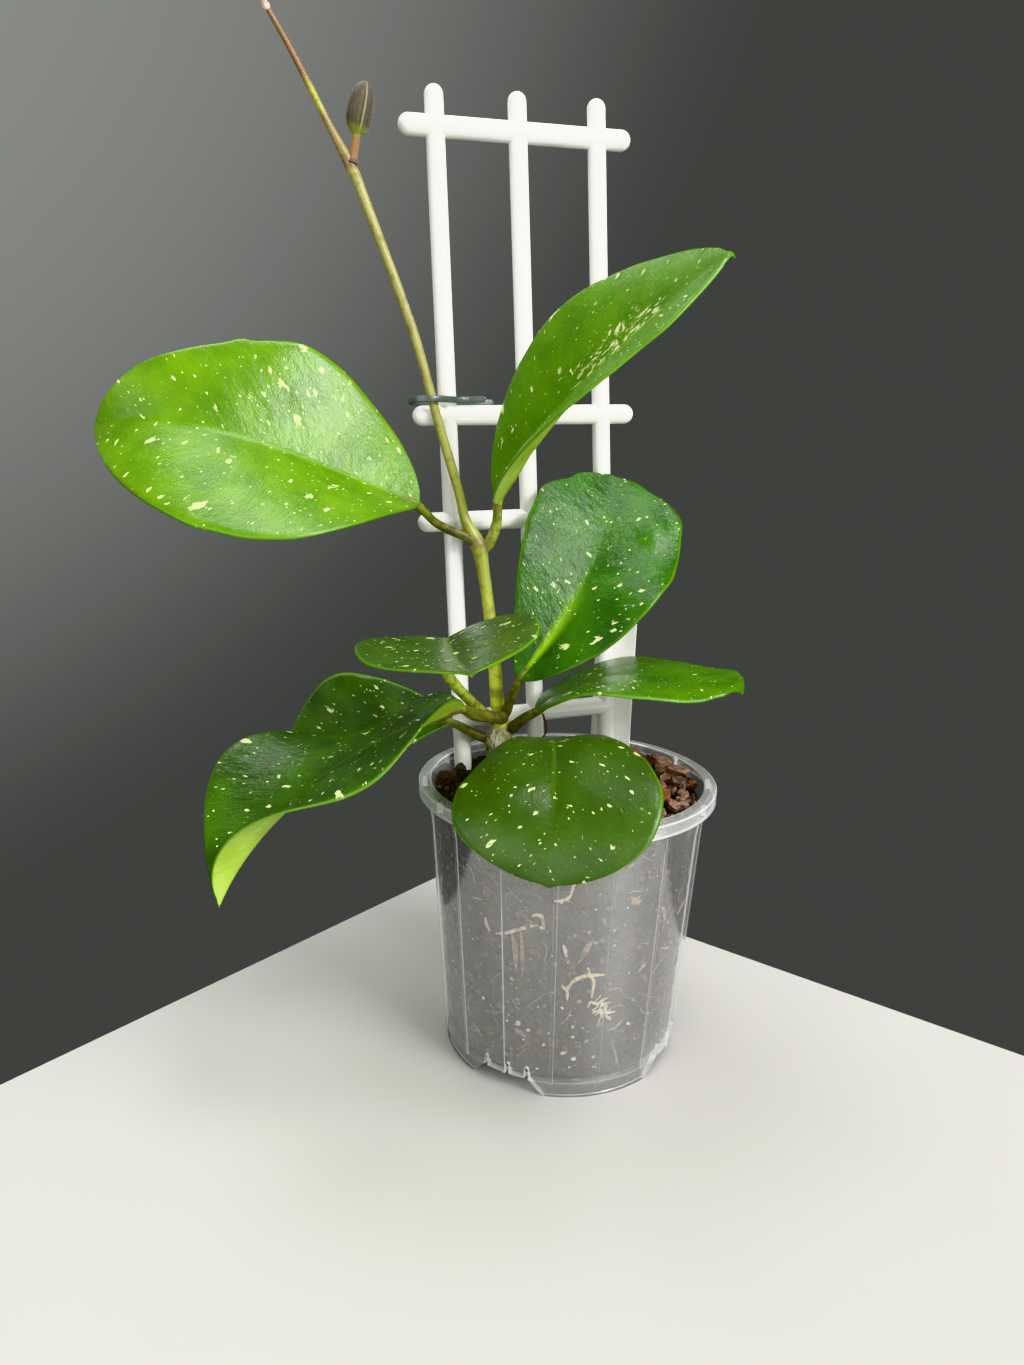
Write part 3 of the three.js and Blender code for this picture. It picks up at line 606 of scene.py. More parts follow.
def blade(leaf, seed):
    """Points, faces, slots and UV maps of a blade with a rounded margin."""
    stations = midrib(leaf)
    main = 0.5 - 0.5 * np.cos(np.linspace(0.02, np.pi - 0.035, BLADE_ROWS))
    rows = np.concatenate([main, 1 + np.linspace(0.0, 0.97, TIP_ROWS)])
    at = rows * MIDRIB_STEPS
    spots = [np.interp(at, np.arange(len(stations)), stations[:, k]) for k in range(9)]
    point, left, up = np.array(spots).reshape(3, 3, -1).transpose(0, 2, 1)
    v = np.sin(np.linspace(-np.pi / 2, np.pi / 2, 2 * BLADE_HALF + 1))
    v = 0.55 * v + 0.45 * np.linspace(-1, 1, 2 * BLADE_HALF + 1)
    u, v = np.meshgrid(rows, v, indexing="ij")
    side = np.sign(v)
    width = half_widths(leaf, u, side, seed)
    out = np.abs(v) * width
    low, mid, high = leaf["cup"]
    inner = np.minimum(u, 1)
    slope = np.radians(low + (high - low) * inner + mid * 4 * inner * (1 - inner)
                       - leaf["curl"] * np.abs(v) / 2)
    swing = np.sin(2 * np.pi * (leaf["ripples"] * inner + leaf["phase"])) * np.sin(np.pi * inner)
    ripple = np.where(v > 0, leaf["wave"][0], leaf["wave"][1]) * v * v * swing
    span = u.clip(0, 1) * leaf["length"] + (u - 1).clip(0, 1) * leaf["tip"][0]
    across = side * out
    fan = span * math.sin(VEIN_ANGLE) - np.abs(across) * math.cos(VEIN_ANGLE)
    relief = blade_relief(leaf, u, v, width, span, across, fan, seed)
    # The fold at the midrib is rounded, more so halfway along a soft blade.
    bend = 1.3 + leaf.get("soft", 0) * np.sin(np.pi * inner)
    edge = np.clip((np.abs(v) - 0.965) / 0.035, 0, 1)
    half = (0.72 - 0.3 * v * v) * np.sqrt(1 - edge**2) * np.clip(1.9 - u, 0.35, 1)
    groove = leaf.get("groove", 0.25) * np.exp(-(across / 1.6) ** 2) * (1 - 0.75 * inner)
    keel = 1.1 * np.exp(-(across / 1.9) ** 2) * (1 - 0.85 * inner)

    def skin(lift):
        lift = lift + relief + ripple
        sine, cosine = np.sin(slope), np.cos(slope)
        reach = np.sqrt(out**2 + bend**2)
        lean = sine * out / reach
        sideways = side * (out * cosine - (lift - ripple) * lean)
        upwards = (reach - bend) * sine + (lift - ripple) * cosine + ripple
        return point[:, None] + left[:, None] * sideways[..., None] + up[:, None] * upwards[..., None]

    upper = skin(half - groove)
    lower = skin(-half - keel)
    count_u, count_v = u.shape
    lower[:, 0], lower[:, -1] = upper[:, 0], upper[:, -1]
    points = np.vstack([upper.reshape(-1, 3), lower.reshape(-1, 3)])
    index = np.arange(count_u * count_v).reshape(count_u, count_v)
    twin = index + count_u * count_v
    twin[:, 0], twin[:, -1] = index[:, 0], index[:, -1]
    above, below = grid_faces(index)[:, ::-1].tolist(), grid_faces(twin).tolist()
    faces = above + below
    slots = [UPPER] * len(above) + [UNDER] * len(below)
    for row, turn in ((0, 1), (-1, -1)):
        cap = [*index[row, :], *twin[row, 1:-1][::-1]]
        faces.append([int(corner) for corner in cap[::turn]])
        slots.append(UNDER)
    vein = span * math.cos(VEIN_ANGLE) + np.abs(across) * math.sin(VEIN_ANGLE)
    maps = {
        "unit": np.stack([u.clip(0, 1), v / 2 + 0.5], -1),
        "span": np.stack([span, across], -1) / 10,
        "vein": np.stack([vein, fan], -1) / 10,
    }
    maps = {name: np.vstack([m.reshape(-1, 2)] * 2) for name, m in maps.items()}
    return points, faces, slots, maps, stations


def make_leaf(name, leaf, upper, under, stalk, seed):
    """A blade and its stalk, which runs on into the underside of the midrib."""
    points, faces, slots, maps, stations = blade(leaf, seed)
    knots = [(*leaf["root"], leaf["petiole"][0][3] * 1.05), *leaf["petiole"]]
    for share, depth, width in ((0.02, leaf.get("sink", 0.7), 3.7), (0.09, 0.9, 2.6), (0.2, 0.7, 1.2)):
        station = stations[int(MIDRIB_STEPS * share)]
        knots.append((*(station[:3] - depth * station[6:9]), width))

    def lumpy(angle, reach):
        base = 1 + 0.08 * np.exp(-((reach - 6) / 3.0) ** 2)
        return base * (1 + 0.035 * np.sin(2 * angle + reach / 6) + 0.03 * wobble(reach / 2.5, seed))

    stalk_points, stalk_faces, stalk_uv = tube(knots, 18, 60, lumpy)
    faces += [[corner + len(points) for corner in face] for face in stalk_faces]
    points = np.vstack([points, stalk_points])
    slots += [STALK] * len(stalk_faces)
    maps = {key: np.vstack([value, stalk_uv]) for key, value in maps.items()}
    piece = make_piece(name + "_blade", points, faces, [upper, under, stalk], slots, maps)
    return settle(piece, "leaf", name)


LEAF_GREENS = (  # dark and light green, how many flecks, and what else is special
    ((0.06, 0.16, 0.002), (0.105, 0.235, 0.005), 1.1, dict(crinkle=0.3)),
    ((0.05, 0.155, 0.001), (0.085, 0.215, 0.003), 1.0, dict(blotch=(0.4, 0.85))),
    ((0.011, 0.066, 0.001), (0.03, 0.118, 0.003), 0.8, dict(lime=0.8, crinkle=0.6, satin=0.17)),
    ((0.035, 0.12, 0.002), (0.06, 0.17, 0.004), 0.9, {}),
    ((0.022, 0.066, 0.002), (0.04, 0.1, 0.004), 1.2, {}),
    ((0.015, 0.05, 0.001), (0.035, 0.1, 0.003), 1.1, {}),
    ((0.016, 0.054, 0.001), (0.034, 0.105, 0.002), 1.1, dict(crinkle=0.45, satin=0.21)),
    ((0.022, 0.06, 0.003), (0.038, 0.09, 0.008), 1.1, dict(crinkle=0.25, satin=0.33)),
)


def make_leaves():
    """All the leaves, each with its own greens, on two kinds of stalk."""
    under = under_look()
    olive = stalk_look("stalk_olive", (0.09, 0.085, 0.02), (0.15, 0.18, 0.02), (0.05, 0.033, 0.018), 1.0)
    lime = stalk_look("stalk_lime", (0.2, 0.24, 0.035), (0.27, 0.37, 0.05), (0.11, 0.09, 0.025), 5.0)
    for number, (name, leaf) in enumerate(LEAVES.items()):
        dark, light, spots, special = LEAF_GREENS[number]
        upper = upper_look(name + "_upper", dark, light, number + 1.0, spots, **special)
        stalk = lime if name in ("leaf_2", "leaf_5") else olive
        make_leaf(name, leaf, upper, under, stalk, 20 + number)


make_leaves()


# ---- stem and bud -------------------------------------------------------------
MAIN_STEM = [  # x, y, z and diameter
    (-20, 30, 100, 9), (-20.5, 30, 117, 10.5), (-21.8, 29.6, 126, 12.6), (-22.8, 29.2, 134, 12.8),
    (-21.6, 30.2, 141.5, 7.4), (-22.4, 30.8, 147, 6.7), (-23.4, 31.5, 153, 6.2), (-25, 32, 175, 5.8),
    (-29.5, 33.5, 209, 5.4), (-32, 34.5, 222, 7), (-37.6, 35.5, 233, 4.6), (-40.4, 38, 246, 4.2),
    (-48.4, 42, 275, 4), (-59.6, 43, 313, 3.9), (-77.7, 44, 359, 4), (-83, 44, 371, 4.6),
    (-91.3, 43.5, 385, 2.9), (-104, 42, 407, 2.5), (-113.4, 40, 421, 1.9),
]
STEM_ROWS = 420
WOODY_TOP = 141.0  # height to which the corky bark reaches
STEM_RINGS = ((149.5, 0.1), (155.0, 0.05), (222.5, 0.1), (371.5, 0.1))  # height, swelling


def stem_look():
    """Corky bark low down, then green bark with stains, darker round the nodes; just above the cork the green
    is brightened with painted light.
    """
    look = Look("stem_bark")
    far, around, _ = look.split(look.uv("unit"))
    place = look.place()
    height = look.times(look.split(place)[2], 1000.0)
    edge = look.times_plus(look.noise(place, 160.0, 3.0), 6.0, height)
    woody = look.step(edge, WOODY_TOP + 4.5, WOODY_TOP + 1.5)
    streak = look.noise(look.scaled(look.join(far, around), (3.0, 7.0, 1)), 4.0, 5.0, 0.65)
    # Painted light: below 160 mm the green is partly the bark's own lime and partly brightened to make up for
    # the shade of the leaves around it. It fades to the plain green by 215 mm.
    green = look.mix(look.step(height, 160.0, 215.0), (0.6, 0.7, 0.09), (0.27, 0.3, 0.05))
    for low, high, tint in ((225, 330, (0.3, 0.28, 0.09)), (369, 374, (0.25, 0.19, 0.07)),
                            (386, 392, (0.34, 0.34, 0.05)), (396, 402, (0.2, 0.1, 0.042))):
        green = look.mix(look.step(height, low, high), green, tint)
    stain = look.noise(place, 210.0, 5.0, 0.65)
    green = look.paint(green, (0.13, 0.1, 0.03), look.step(stain, 0.5, 0.64), 0.5)
    green = look.paint(green, (0.36, 0.35, 0.13), look.step(streak, 0.52, 0.8), 0.3)
    for ring, width in ((156.0, 3.5), (224.0, 3.5), (371.5, 2.5)):
        near = look.step(look.apart(height, ring), width, width * 0.2)
        green = look.paint(green, (0.13, 0.07, 0.05), near, 0.6)
    cork = look.noise(look.scaled(place, (1, 1, 0.5)), 420.0, 5.0, 0.7, 0.6)
    cracks = look.cells(ragged(look, look.scaled(place, (1, 1, 0.4)), 500.0, 0.0012), 560.0)
    gap = look.step(cracks["Distance"], 0.5, 0.75)
    tan = look.mix(look.step(cork, 0.35, 0.68), (0.36, 0.32, 0.2), (0.66, 0.61, 0.46))
    tan = look.paint(tan, (0.16, 0.12, 0.06), gap, 0.75)
    moss = look.step(look.noise(place, 130.0, 2.0), 0.6, 0.66)
    tan = look.paint(tan, (0.25, 0.32, 0.08), moss, 0.7)
    colour = look.mix(woody, green, tan)
    rise = look.mix(woody, look.mix(0.3, (0, 0, 0), streak), look.math("SUBTRACT", cork, gap))
    rough = look.times_plus(woody, 0.45, 0.36)
    return look.surface(colour, rough, rise, 0.0007, 0.7)


def stem_shape(angle, reach):
    """Ridges in the woody part, and a collar at each node."""
    path, along = smooth_path(MAIN_STEM, STEM_ROWS)
    height = np.interp(reach, along, path[:, 2])
    woody = 1 / (1 + np.exp((height - WOODY_TOP) / 1.6))
    ridges = (0.06 * np.sin(5 * angle + 1.9 * reach + 2 * np.sin(reach / 3)) * np.sin(2 * angle + reach)
              + 0.045 * np.sin(11 * angle - 0.7 * reach) + 0.05 * np.sin(2.1 * reach + 2 * angle))
    collars = 0.0
    for ring, size in STEM_RINGS:
        collars = collars + size * np.exp(-((height - ring) / 0.9) ** 2)
    small = 0.02 * np.sin(3 * angle + reach / 9) + 0.02 * np.sin(reach / 4.1)
    return 1 + woody * ridges + collars + small


def scale_leaf(origin, along, outward, length, width):
    """A small pointed scale: a cupped blade that hugs the shoot."""
    outward = unit_of(outward - along * (outward @ along))
    side = np.cross(along, outward)
    rows, columns = 9, 7
    t, s = np.meshgrid(np.linspace(0, 1, rows), np.linspace(-1, 1, columns), indexing="ij")
    half = width * np.sin(np.pi * (0.12 + 0.86 * t) ** 0.8) ** 0.8 + 0.05
    layers = []
    for lift in (0.0, 0.35):
        rise = 0.9 + 0.5 * np.sin(np.pi * t) - 0.55 * s * s * half + lift * (1 - s * s) - 0.6 * t
        flat = origin + along * (length * t)[..., None] + side * (s * half)[..., None]
        layers.append(flat + outward * rise[..., None])
    grid = np.arange(rows * columns).reshape(rows, columns)
    top = grid + rows * columns
    faces = grid_faces(grid).tolist() + grid_faces(top)[:, ::-1].tolist()
    rim = [*grid[0, :], *grid[1:, -1], *grid[-1, :-1][::-1], *grid[1:-1, 0][::-1]]
    for here, ahead in zip(rim, [*rim[1:], rim[0]]):
        faces.append([int(corner) for corner in (here, here + grid.size, ahead + grid.size, ahead)])
    return np.reshape(layers, (-1, 3)), faces, np.tile([3.45, 0.5], (2 * grid.size, 1))


def make_stem():
    """The woody base, the stem and the bare shoot, with dry scales on the shoot."""
    bark = stem_look()
    pale = Look("shoot_scales")
    tint = pale.step(pale.noise(pale.place(), 500.0, 3.0), 0.35, 0.65)
    pale = pale.finish(pale.principled(pale.mix(tint, (0.72, 0.62, 0.52), (0.4, 0.2, 0.14)), 0.5))
    parts = [(*tube(MAIN_STEM, 28, STEM_ROWS, stem_shape), 0)]
    knots = np.array(MAIN_STEM, float)[:, :3]
    along = unit_of(knots[-1] - knots[-2])
    for outward in ((-0.5, -0.8, 0.2), (0.6, 0.5, 0.3), (0.5, -0.9, 0.1), (-0.9, 0.2, 0.3)):
        parts.append((*scale_leaf(knots[-1] - 0.8 * along, along, np.array(outward), 3.4, 1.3), 1))
    for outward in ((-0.9, -0.5, 0.1), (0.2, -0.9, 0.4)):
        parts.append((*scale_leaf(knots[-4] - (0, 0, 0.5), along, np.array(outward), 3.0, 1.0), 1))
    points, faces, uv, slots = merge(parts)
    piece = make_piece("stem_and_shoot", points, faces, [bark, pale], slots, {"unit": uv})
    return settle(piece, "stem", "main_stem")


make_stem()

BUD_BASE = np.array([-82.6, 43.0, 372.0])
BUD_TIP = np.array([-77.0, 41.0, 401.5])


def bud_look():
    """Dark ribbed fuzz with a pale seam, above a stalk that is green and then brown."""
    look = Look("bud_skin")
    far, around, _ = look.split(look.uv("unit"))
    fuzz = look.noise(look.scaled(look.place(), (1, 1, 0.4)), 900.0, 4.0, 0.7)
    ribs = look.noise(look.scaled(look.join(far, around), (6.0, 26.0, 1.0)), 1.0, 3.0)
    colour = look.mix(look.step(ribs, 0.35, 0.75), (0.038, 0.03, 0.015), (0.08, 0.062, 0.03))
    colour = look.paint(colour, (0.2, 0.165, 0.1), look.step(fuzz, 0.5, 0.75), 0.3)
    for start, end, tint in ((0.15, 0.11, (0.17, 0.2, 0.025)), (0.102, 0.09, (0.23, 0.115, 0.03)),
                             (0.022, 0.012, (0.1, 0.045, 0.035))):
        colour = look.mix(look.step(far, start, end), colour, tint)
    seam = look.step(look.apart(around, 0.5), 0.016, 0.006)
    seam = look.times(seam, look.step(far, 0.11, 0.13))
    colour = look.paint(colour, (0.36, 0.34, 0.12), seam, 0.55)
    return look.surface(colour, 0.6, look.times_plus(fuzz, 0.6, ribs), 0.0005, 0.8, Sheen_Weight=0.25)


def make_bud():
    """Two young leaves pressed together: a long closed lens with a seam down each edge."""
    axis = BUD_TIP - BUD_BASE
    length = np.linalg.norm(axis)
    axis = axis / length
    seam = np.array([-0.3, 0.95, 0.0])
    seam = unit_of(seam - axis * (seam @ axis))
    flat = np.cross(axis, seam)
    rows, sides = 60, 40
    t = np.linspace(0, 1, rows)[:, None]
    angle = circle(sides)[None, :]
    stalk_r = 1.6 + 0.5 * np.exp(-(t / 0.05) ** 2)
    share = ((t - 0.34) / 0.64).clip(0, 1)
    body = (1 - np.abs(2 * share - 1) ** 2.4) ** 0.5 * (1 - 0.16 * share)
    stub = np.where(t < 0.5, stalk_r, 0.5)
    broad = np.maximum(stub, 4.5 * body)
    thick = np.maximum(stub, 5.7 * body)
    pinch = 1 - 0.12 * body * np.exp(-(np.sin(angle) / 0.13) ** 2) + 0.012 * body * np.cos(14 * angle)
    end = np.clip((1 - t) / 0.03, 0.15, 1) ** 0.5
    x = broad * np.cos(angle) * pinch * end
    y = thick * np.sin(angle) * pinch * end
    bend = 0.9 * np.sin(np.pi * t) ** 2
    points = (BUD_BASE + axis * (t * length)[..., None] + seam * (x + bend)[..., None]
              + flat * y[..., None]).reshape(-1, 3)
    uv = np.stack([np.repeat(t[:, 0] * length / 100, sides), np.tile(angle[0] / (2 * np.pi), rows)], -1)
    faces = closed_faces(rows, sides)
    piece = make_piece("young_leaf_bud", points, faces, [bud_look()], None, {"unit": uv})
    return settle(piece, "bud", "folded_leaf_bud")


make_bud()


# ---- trellis, label and clip --------------------------------------------------
def plastic_look(name, colour, shade, roughness, seed, specks=0.0, **inputs):
    """Moulded plastic: faint flow marks, fine scuffs and a few specks of grime."""
    look = Look(name)
    place = look.moved(look.place(), seed)
    flow = look.noise(look.scaled(place, (1, 1, 0.3)), 40.0, 3.0)
    tone = look.mix(look.step(flow, 0.35, 0.7), colour, shade)
    if specks:
        found = look.cells(ragged(look, place, 400.0, 0.0015), 130.0)
        chance = look.split(found["Color"])
        wanted = look.step(chance[0], specks, specks - 0.01)
        dot = look.times(look.step(found["Distance"], 0.1, 0.05), wanted)
        tone = look.paint(tone, (0.25, 0.2, 0.15), dot, 0.6)
    scuff = look.noise(look.scaled(place, (1, 1, 0.2)), 700.0, 5.0, 0.7)
    rough = look.times_plus(scuff, 0.16, roughness - 0.08)
    return look.surface(tone, rough, look.times_plus(scuff, 0.12, flow), 0.0006, 0.35, **inputs)


def trellis_matrix():
    """The trellis's place: its foot, its lean to the side and its tilt."""
    lean, tilt = math.radians(TRELLIS_LEAN), math.radians(TRELLIS_TILT)
    up = Vector((-math.tan(lean), math.tan(tilt), 1)).normalized()
    across = (Vector((1, 0, 0)) - up * up.x).normalized()
    matrix = Matrix((across, up.cross(across), up)).transposed().to_4x4()
    matrix.translation = Vector(TRELLIS_FOOT)
    return np.array(matrix)


TRELLIS = trellis_matrix()


def on_trellis(points):
    """From the trellis's own flat frame to the part's frame, in mm."""
    return points @ TRELLIS[:3, :3].T + TRELLIS[:3, 3]


def capsule(diameter, start, end, sides=36):
    """A rod with round ends in the trellis's own frame, from (x, z) to (x, z)."""
    radius = diameter / 2
    start, end = np.array([start[0], 0, start[1]]), np.array([end[0], 0, end[1]])
    along = unit_of(end - start)
    first = np.array([0.0, 1.0, 0.0])
    angle = circle(sides)[:, None]
    ring = first * np.cos(angle) + np.cross(along, first) * np.sin(angle)
    arcs = np.linspace(0.06, np.pi / 2, 9)
    rows = []
    for tip, inwards, turns in ((start, along, arcs), (end, -along, arcs[::-1])):
        for arc in turns:
            rows.append(tip + inwards * radius * (1 - math.cos(arc)) + ring * radius * math.sin(arc))
    return on_trellis(np.vstack(rows)), closed_faces(len(rows), sides)


def make_trellis():
    """The rods and bars, joined into one moulding."""
    white = plastic_look("trellis_white", (0.86, 0.86, 0.83), (0.82, 0.82, 0.79), 0.3, 0.0, 0.035)
    rods = []
    for across in (-ROD_SPACING, 0.0, ROD_SPACING):
        rods.append((ROD_DIAMETER, (across, ROD_BOTTOM), (across, ROD_TOP)))
    reach = ROD_SPACING + BAR_OVERHANG
    inset = ROD_SPACING + BAR_DIAMETER / 2
    for height, half in zip(BAR_HEIGHTS, (reach, reach, reach, inset)):
        rods.append((BAR_DIAMETER, (-half, height), (half, height)))
    pieces = [make_piece(f"rod_{at}", *capsule(*rod), [white]) for at, rod in enumerate(rods)]
    lattice = pieces[0]
    lattice.name = "trellis_moulding"
    apply_boolean(lattice, "UNION", pieces[1:], 32)
    return settle(lattice, "white_plastic", "trellis")


make_trellis()

LABEL_WIDTH = 20.0
LABEL_LENGTH = 125.0
LABEL_TAPER = 14.0
LABEL_THICKNESS = 0.9
LABEL_CORNER = 3.0
LABEL_BOTTOM = 88.0
LABEL_AZIMUTH = 47.7  # degrees
LABEL_RADIUS = 56.6  # from the pot's axis, at the surface of the mix
LABEL_LEAN = 2.2  # degrees


def make_label():
    """A flat blank stake with rounded corners and a tapered foot."""
    straight, round_from = LABEL_WIDTH / 2 - LABEL_CORNER, LABEL_LENGTH - LABEL_CORNER
    rim = [(-2, 0), (2, 0), (LABEL_WIDTH / 2, LABEL_TAPER)]
    for middle, start in ((straight, 0), (-straight, math.pi / 2)):
        for at in np.linspace(start, start + math.pi / 2, 7):
            rim.append((middle + LABEL_CORNER * math.cos(at), round_from + LABEL_CORNER * math.sin(at)))
    rim = np.array([*rim, (-LABEL_WIDTH / 2, LABEL_TAPER)])
    toward = unit_of(rim.mean(0) - rim)
    half = LABEL_THICKNESS / 2
    rings = []
    for depth, inset in ((-half, 0.25), (-half / 2, 0.0), (half / 2, 0.0), (half, 0.25)):
        rings.append(np.insert(rim + toward * inset, 1, depth, axis=1))
    lean, turn = math.radians(LABEL_LEAN), math.radians(LABEL_AZIMUTH - 90)
    tilt = np.array(Matrix.Rotation(-lean, 3, "X"))
    spin = np.array(Matrix.Rotation(turn, 3, "Z"))
    outset = LABEL_RADIUS - (SOIL_LEVEL - LABEL_BOTTOM) * math.tan(lean)
    points = (np.vstack(rings) @ tilt.T + (0, outset, LABEL_BOTTOM)) @ spin.T
    satin = plastic_look("label_white", (0.92, 0.91, 0.89), (0.88, 0.88, 0.86), 0.42, 3.0, 0.02)
    piece = make_piece("blank_label", points, closed_faces(4, len(rim)), [satin], crease=40)
    return settle(piece, "label_plastic", "plant_label")


make_label()

CLIP_PATH = [  # x and y from the left rod's middle
    (15.5, -8), (11.5, -6.4), (7, -5.4), (2, -6.6), (-3, -9.6), (-9, -11.4), (-14.5, -9.6),
    (-17.2, -5), (-16.6, -1), (-13, 3.2), (-7, 5.6), (0, 6.2), (7, 5.4), (15, 5), (23, 6.4),
]


def make_clip():
    """A smoky band round stem and rod, with small grip ridges on its front tab."""
    path, reach = smooth_path([(x, y, 0) for x, y in CLIP_PATH], 150)
    along = unit_of(np.gradient(path, axis=0))
    out = np.cross([0, 0, 1.0], along)
    sides, tall, thick, squareness = 16, 2.8, 1.15, 0.55
    angle = circle(sides)
    wide = np.sign(np.cos(angle)) * np.abs(np.cos(angle)) ** squareness * thick / 2
    high = np.sign(np.sin(angle)) * np.abs(np.sin(angle)) ** squareness * tall / 2
    ends = np.minimum(1, np.sqrt(np.minimum(reach, reach[-1] - reach) / 1.2 + 0.08))
    tab = 1 + 0.22 * np.sin(reach * 2 * np.pi / 1.6) * (reach < 9)
    rest = BAR_HEIGHTS[1] + BAR_DIAMETER / 2 + tall / 2 + 0.3
    points = path[:, None] + out[:, None] * wide[:, None] * (tab * ends)[:, None, None]
    points = points + (high[:, None] * ends[:, None, None]) * (0, 0, 1)
    points = on_trellis(points.reshape(-1, 3) + (-ROD_SPACING, 0, rest))
    smoky = plastic_look("clip_smoky", (0.1, 0.125, 0.115), (0.15, 0.18, 0.165), 0.24, 6.0,
                         Transmission_Weight=0.25)
    piece = make_piece("stem_tie", points, closed_faces(len(path), sides), [smoky], crease=50)
    return settle(piece, "clip_plastic", "stem_clip")


make_clip()


# ---- pot ------------------------------------------------------------------------
def wall_radius(height):
    """The radius of the wall's outside."""
    return BASE_RADIUS + (WALL_TOP_RADIUS - BASE_RADIUS) * (height / POT_HEIGHT)


def inner_radius(height, gap=0.0):
    """The radius of the wall's inside, less a gap."""
    return wall_radius(height) - WALL - gap


def spread_round(count):
    """Evenly spread directions in degrees, the first one at the first notch."""
    return [NOTCH_FIRST + 360 * k / count for k in range(count)]


def clear_look(name, body, glance, mirror, grain, foot_shade=0.0):
    """Clear plastic. body is how milky it is face on, and glance how much more at the edge."""
    look = Look(name)
    place = look.place()
    haze = look.noise(look.scaled(place, (1, 1, 0.35)), 45.0, 4.0, 0.6)
    scratch = look.noise(look.scaled(place, (1, 1, 0.05)), 900.0, 4.0, 0.7)
    facing = look.node("ShaderNodeLayerWeight", {"Blend": 0.5}).outputs["Facing"]
    shine = look.times_plus(look.math("POWER", facing, 4.0), 0.32, mirror)
    cloud = look.times_plus(look.step(haze, 0.35, 0.7), grain, body)
    cloud = look.times_plus(look.step(scratch, 0.62, 0.8), grain, cloud)
    cloud = look.times_plus(look.math("POWER", facing, 3.0), glance, cloud)
    # Painted shade: brown smudges on the wall below the pot's raised floor stand in for the shadow under the
    # pot.
    height = look.times(look.split(place)[2], 1000.0)
    shade_smears = look.noise(look.scaled(place, (1, 1, 1.6)), 170.0, 5.0, 0.65)
    low = look.times(look.step(height, 8.4, 6.4), look.step(height, 0.4, 1.0))
    shade_smudge = look.times_plus(look.step(shade_smears, 0.3, 0.62), 0.6 * foot_shade, 0.25 * foot_shade)
    painted_shade = look.times(low, shade_smudge)
    see = look.node("ShaderNodeBsdfTransparent", {"Color": (0.97, 0.98, 0.98)}).outputs[0]
    gloss = look.node("ShaderNodeBsdfGlossy", {"Color": (1, 1, 1), "Roughness": 0.09}).outputs[0]
    milk = look.principled((0.84, 0.85, 0.86), 0.3)
    brown = look.mix(look.step(shade_smears, 0.4, 0.7), (0.06, 0.053, 0.049), (0.17, 0.152, 0.138))
    with_painted_shade = look.blend(painted_shade, look.blend(cloud, see, milk), look.principled(brown, 0.8))
    return look.finish(look.blend(shine, with_painted_shade, gloss))


# Painted highlights: the edge, rib and web slots are milkier than the clear wall, so the edges, ribs and webs
# show as the bright lines that light draws along clear plastic.
CLEAR, MILKY, EDGE_GLINT, RIB_GLINT, WEB_GLINT = range(5)  # the pot's material slots
POT_LOOKS = (  # name, body, glance, mirror, grain and how much painted shade darkens its foot
    ("pot_clear", 0.036, 0.15, 0.1, 0.014, 0.4),
    ("pot_milky", 0.18, 0.22, 0.1, 0.0),
    ("pot_edge", 0.6, 0.2, 0.08, 0.0),
    ("pot_rib", 0.3, 0.12, 0.08, 0.0),
    ("pot_web", 1.0, 0.0, 0.04, 0.0),
)


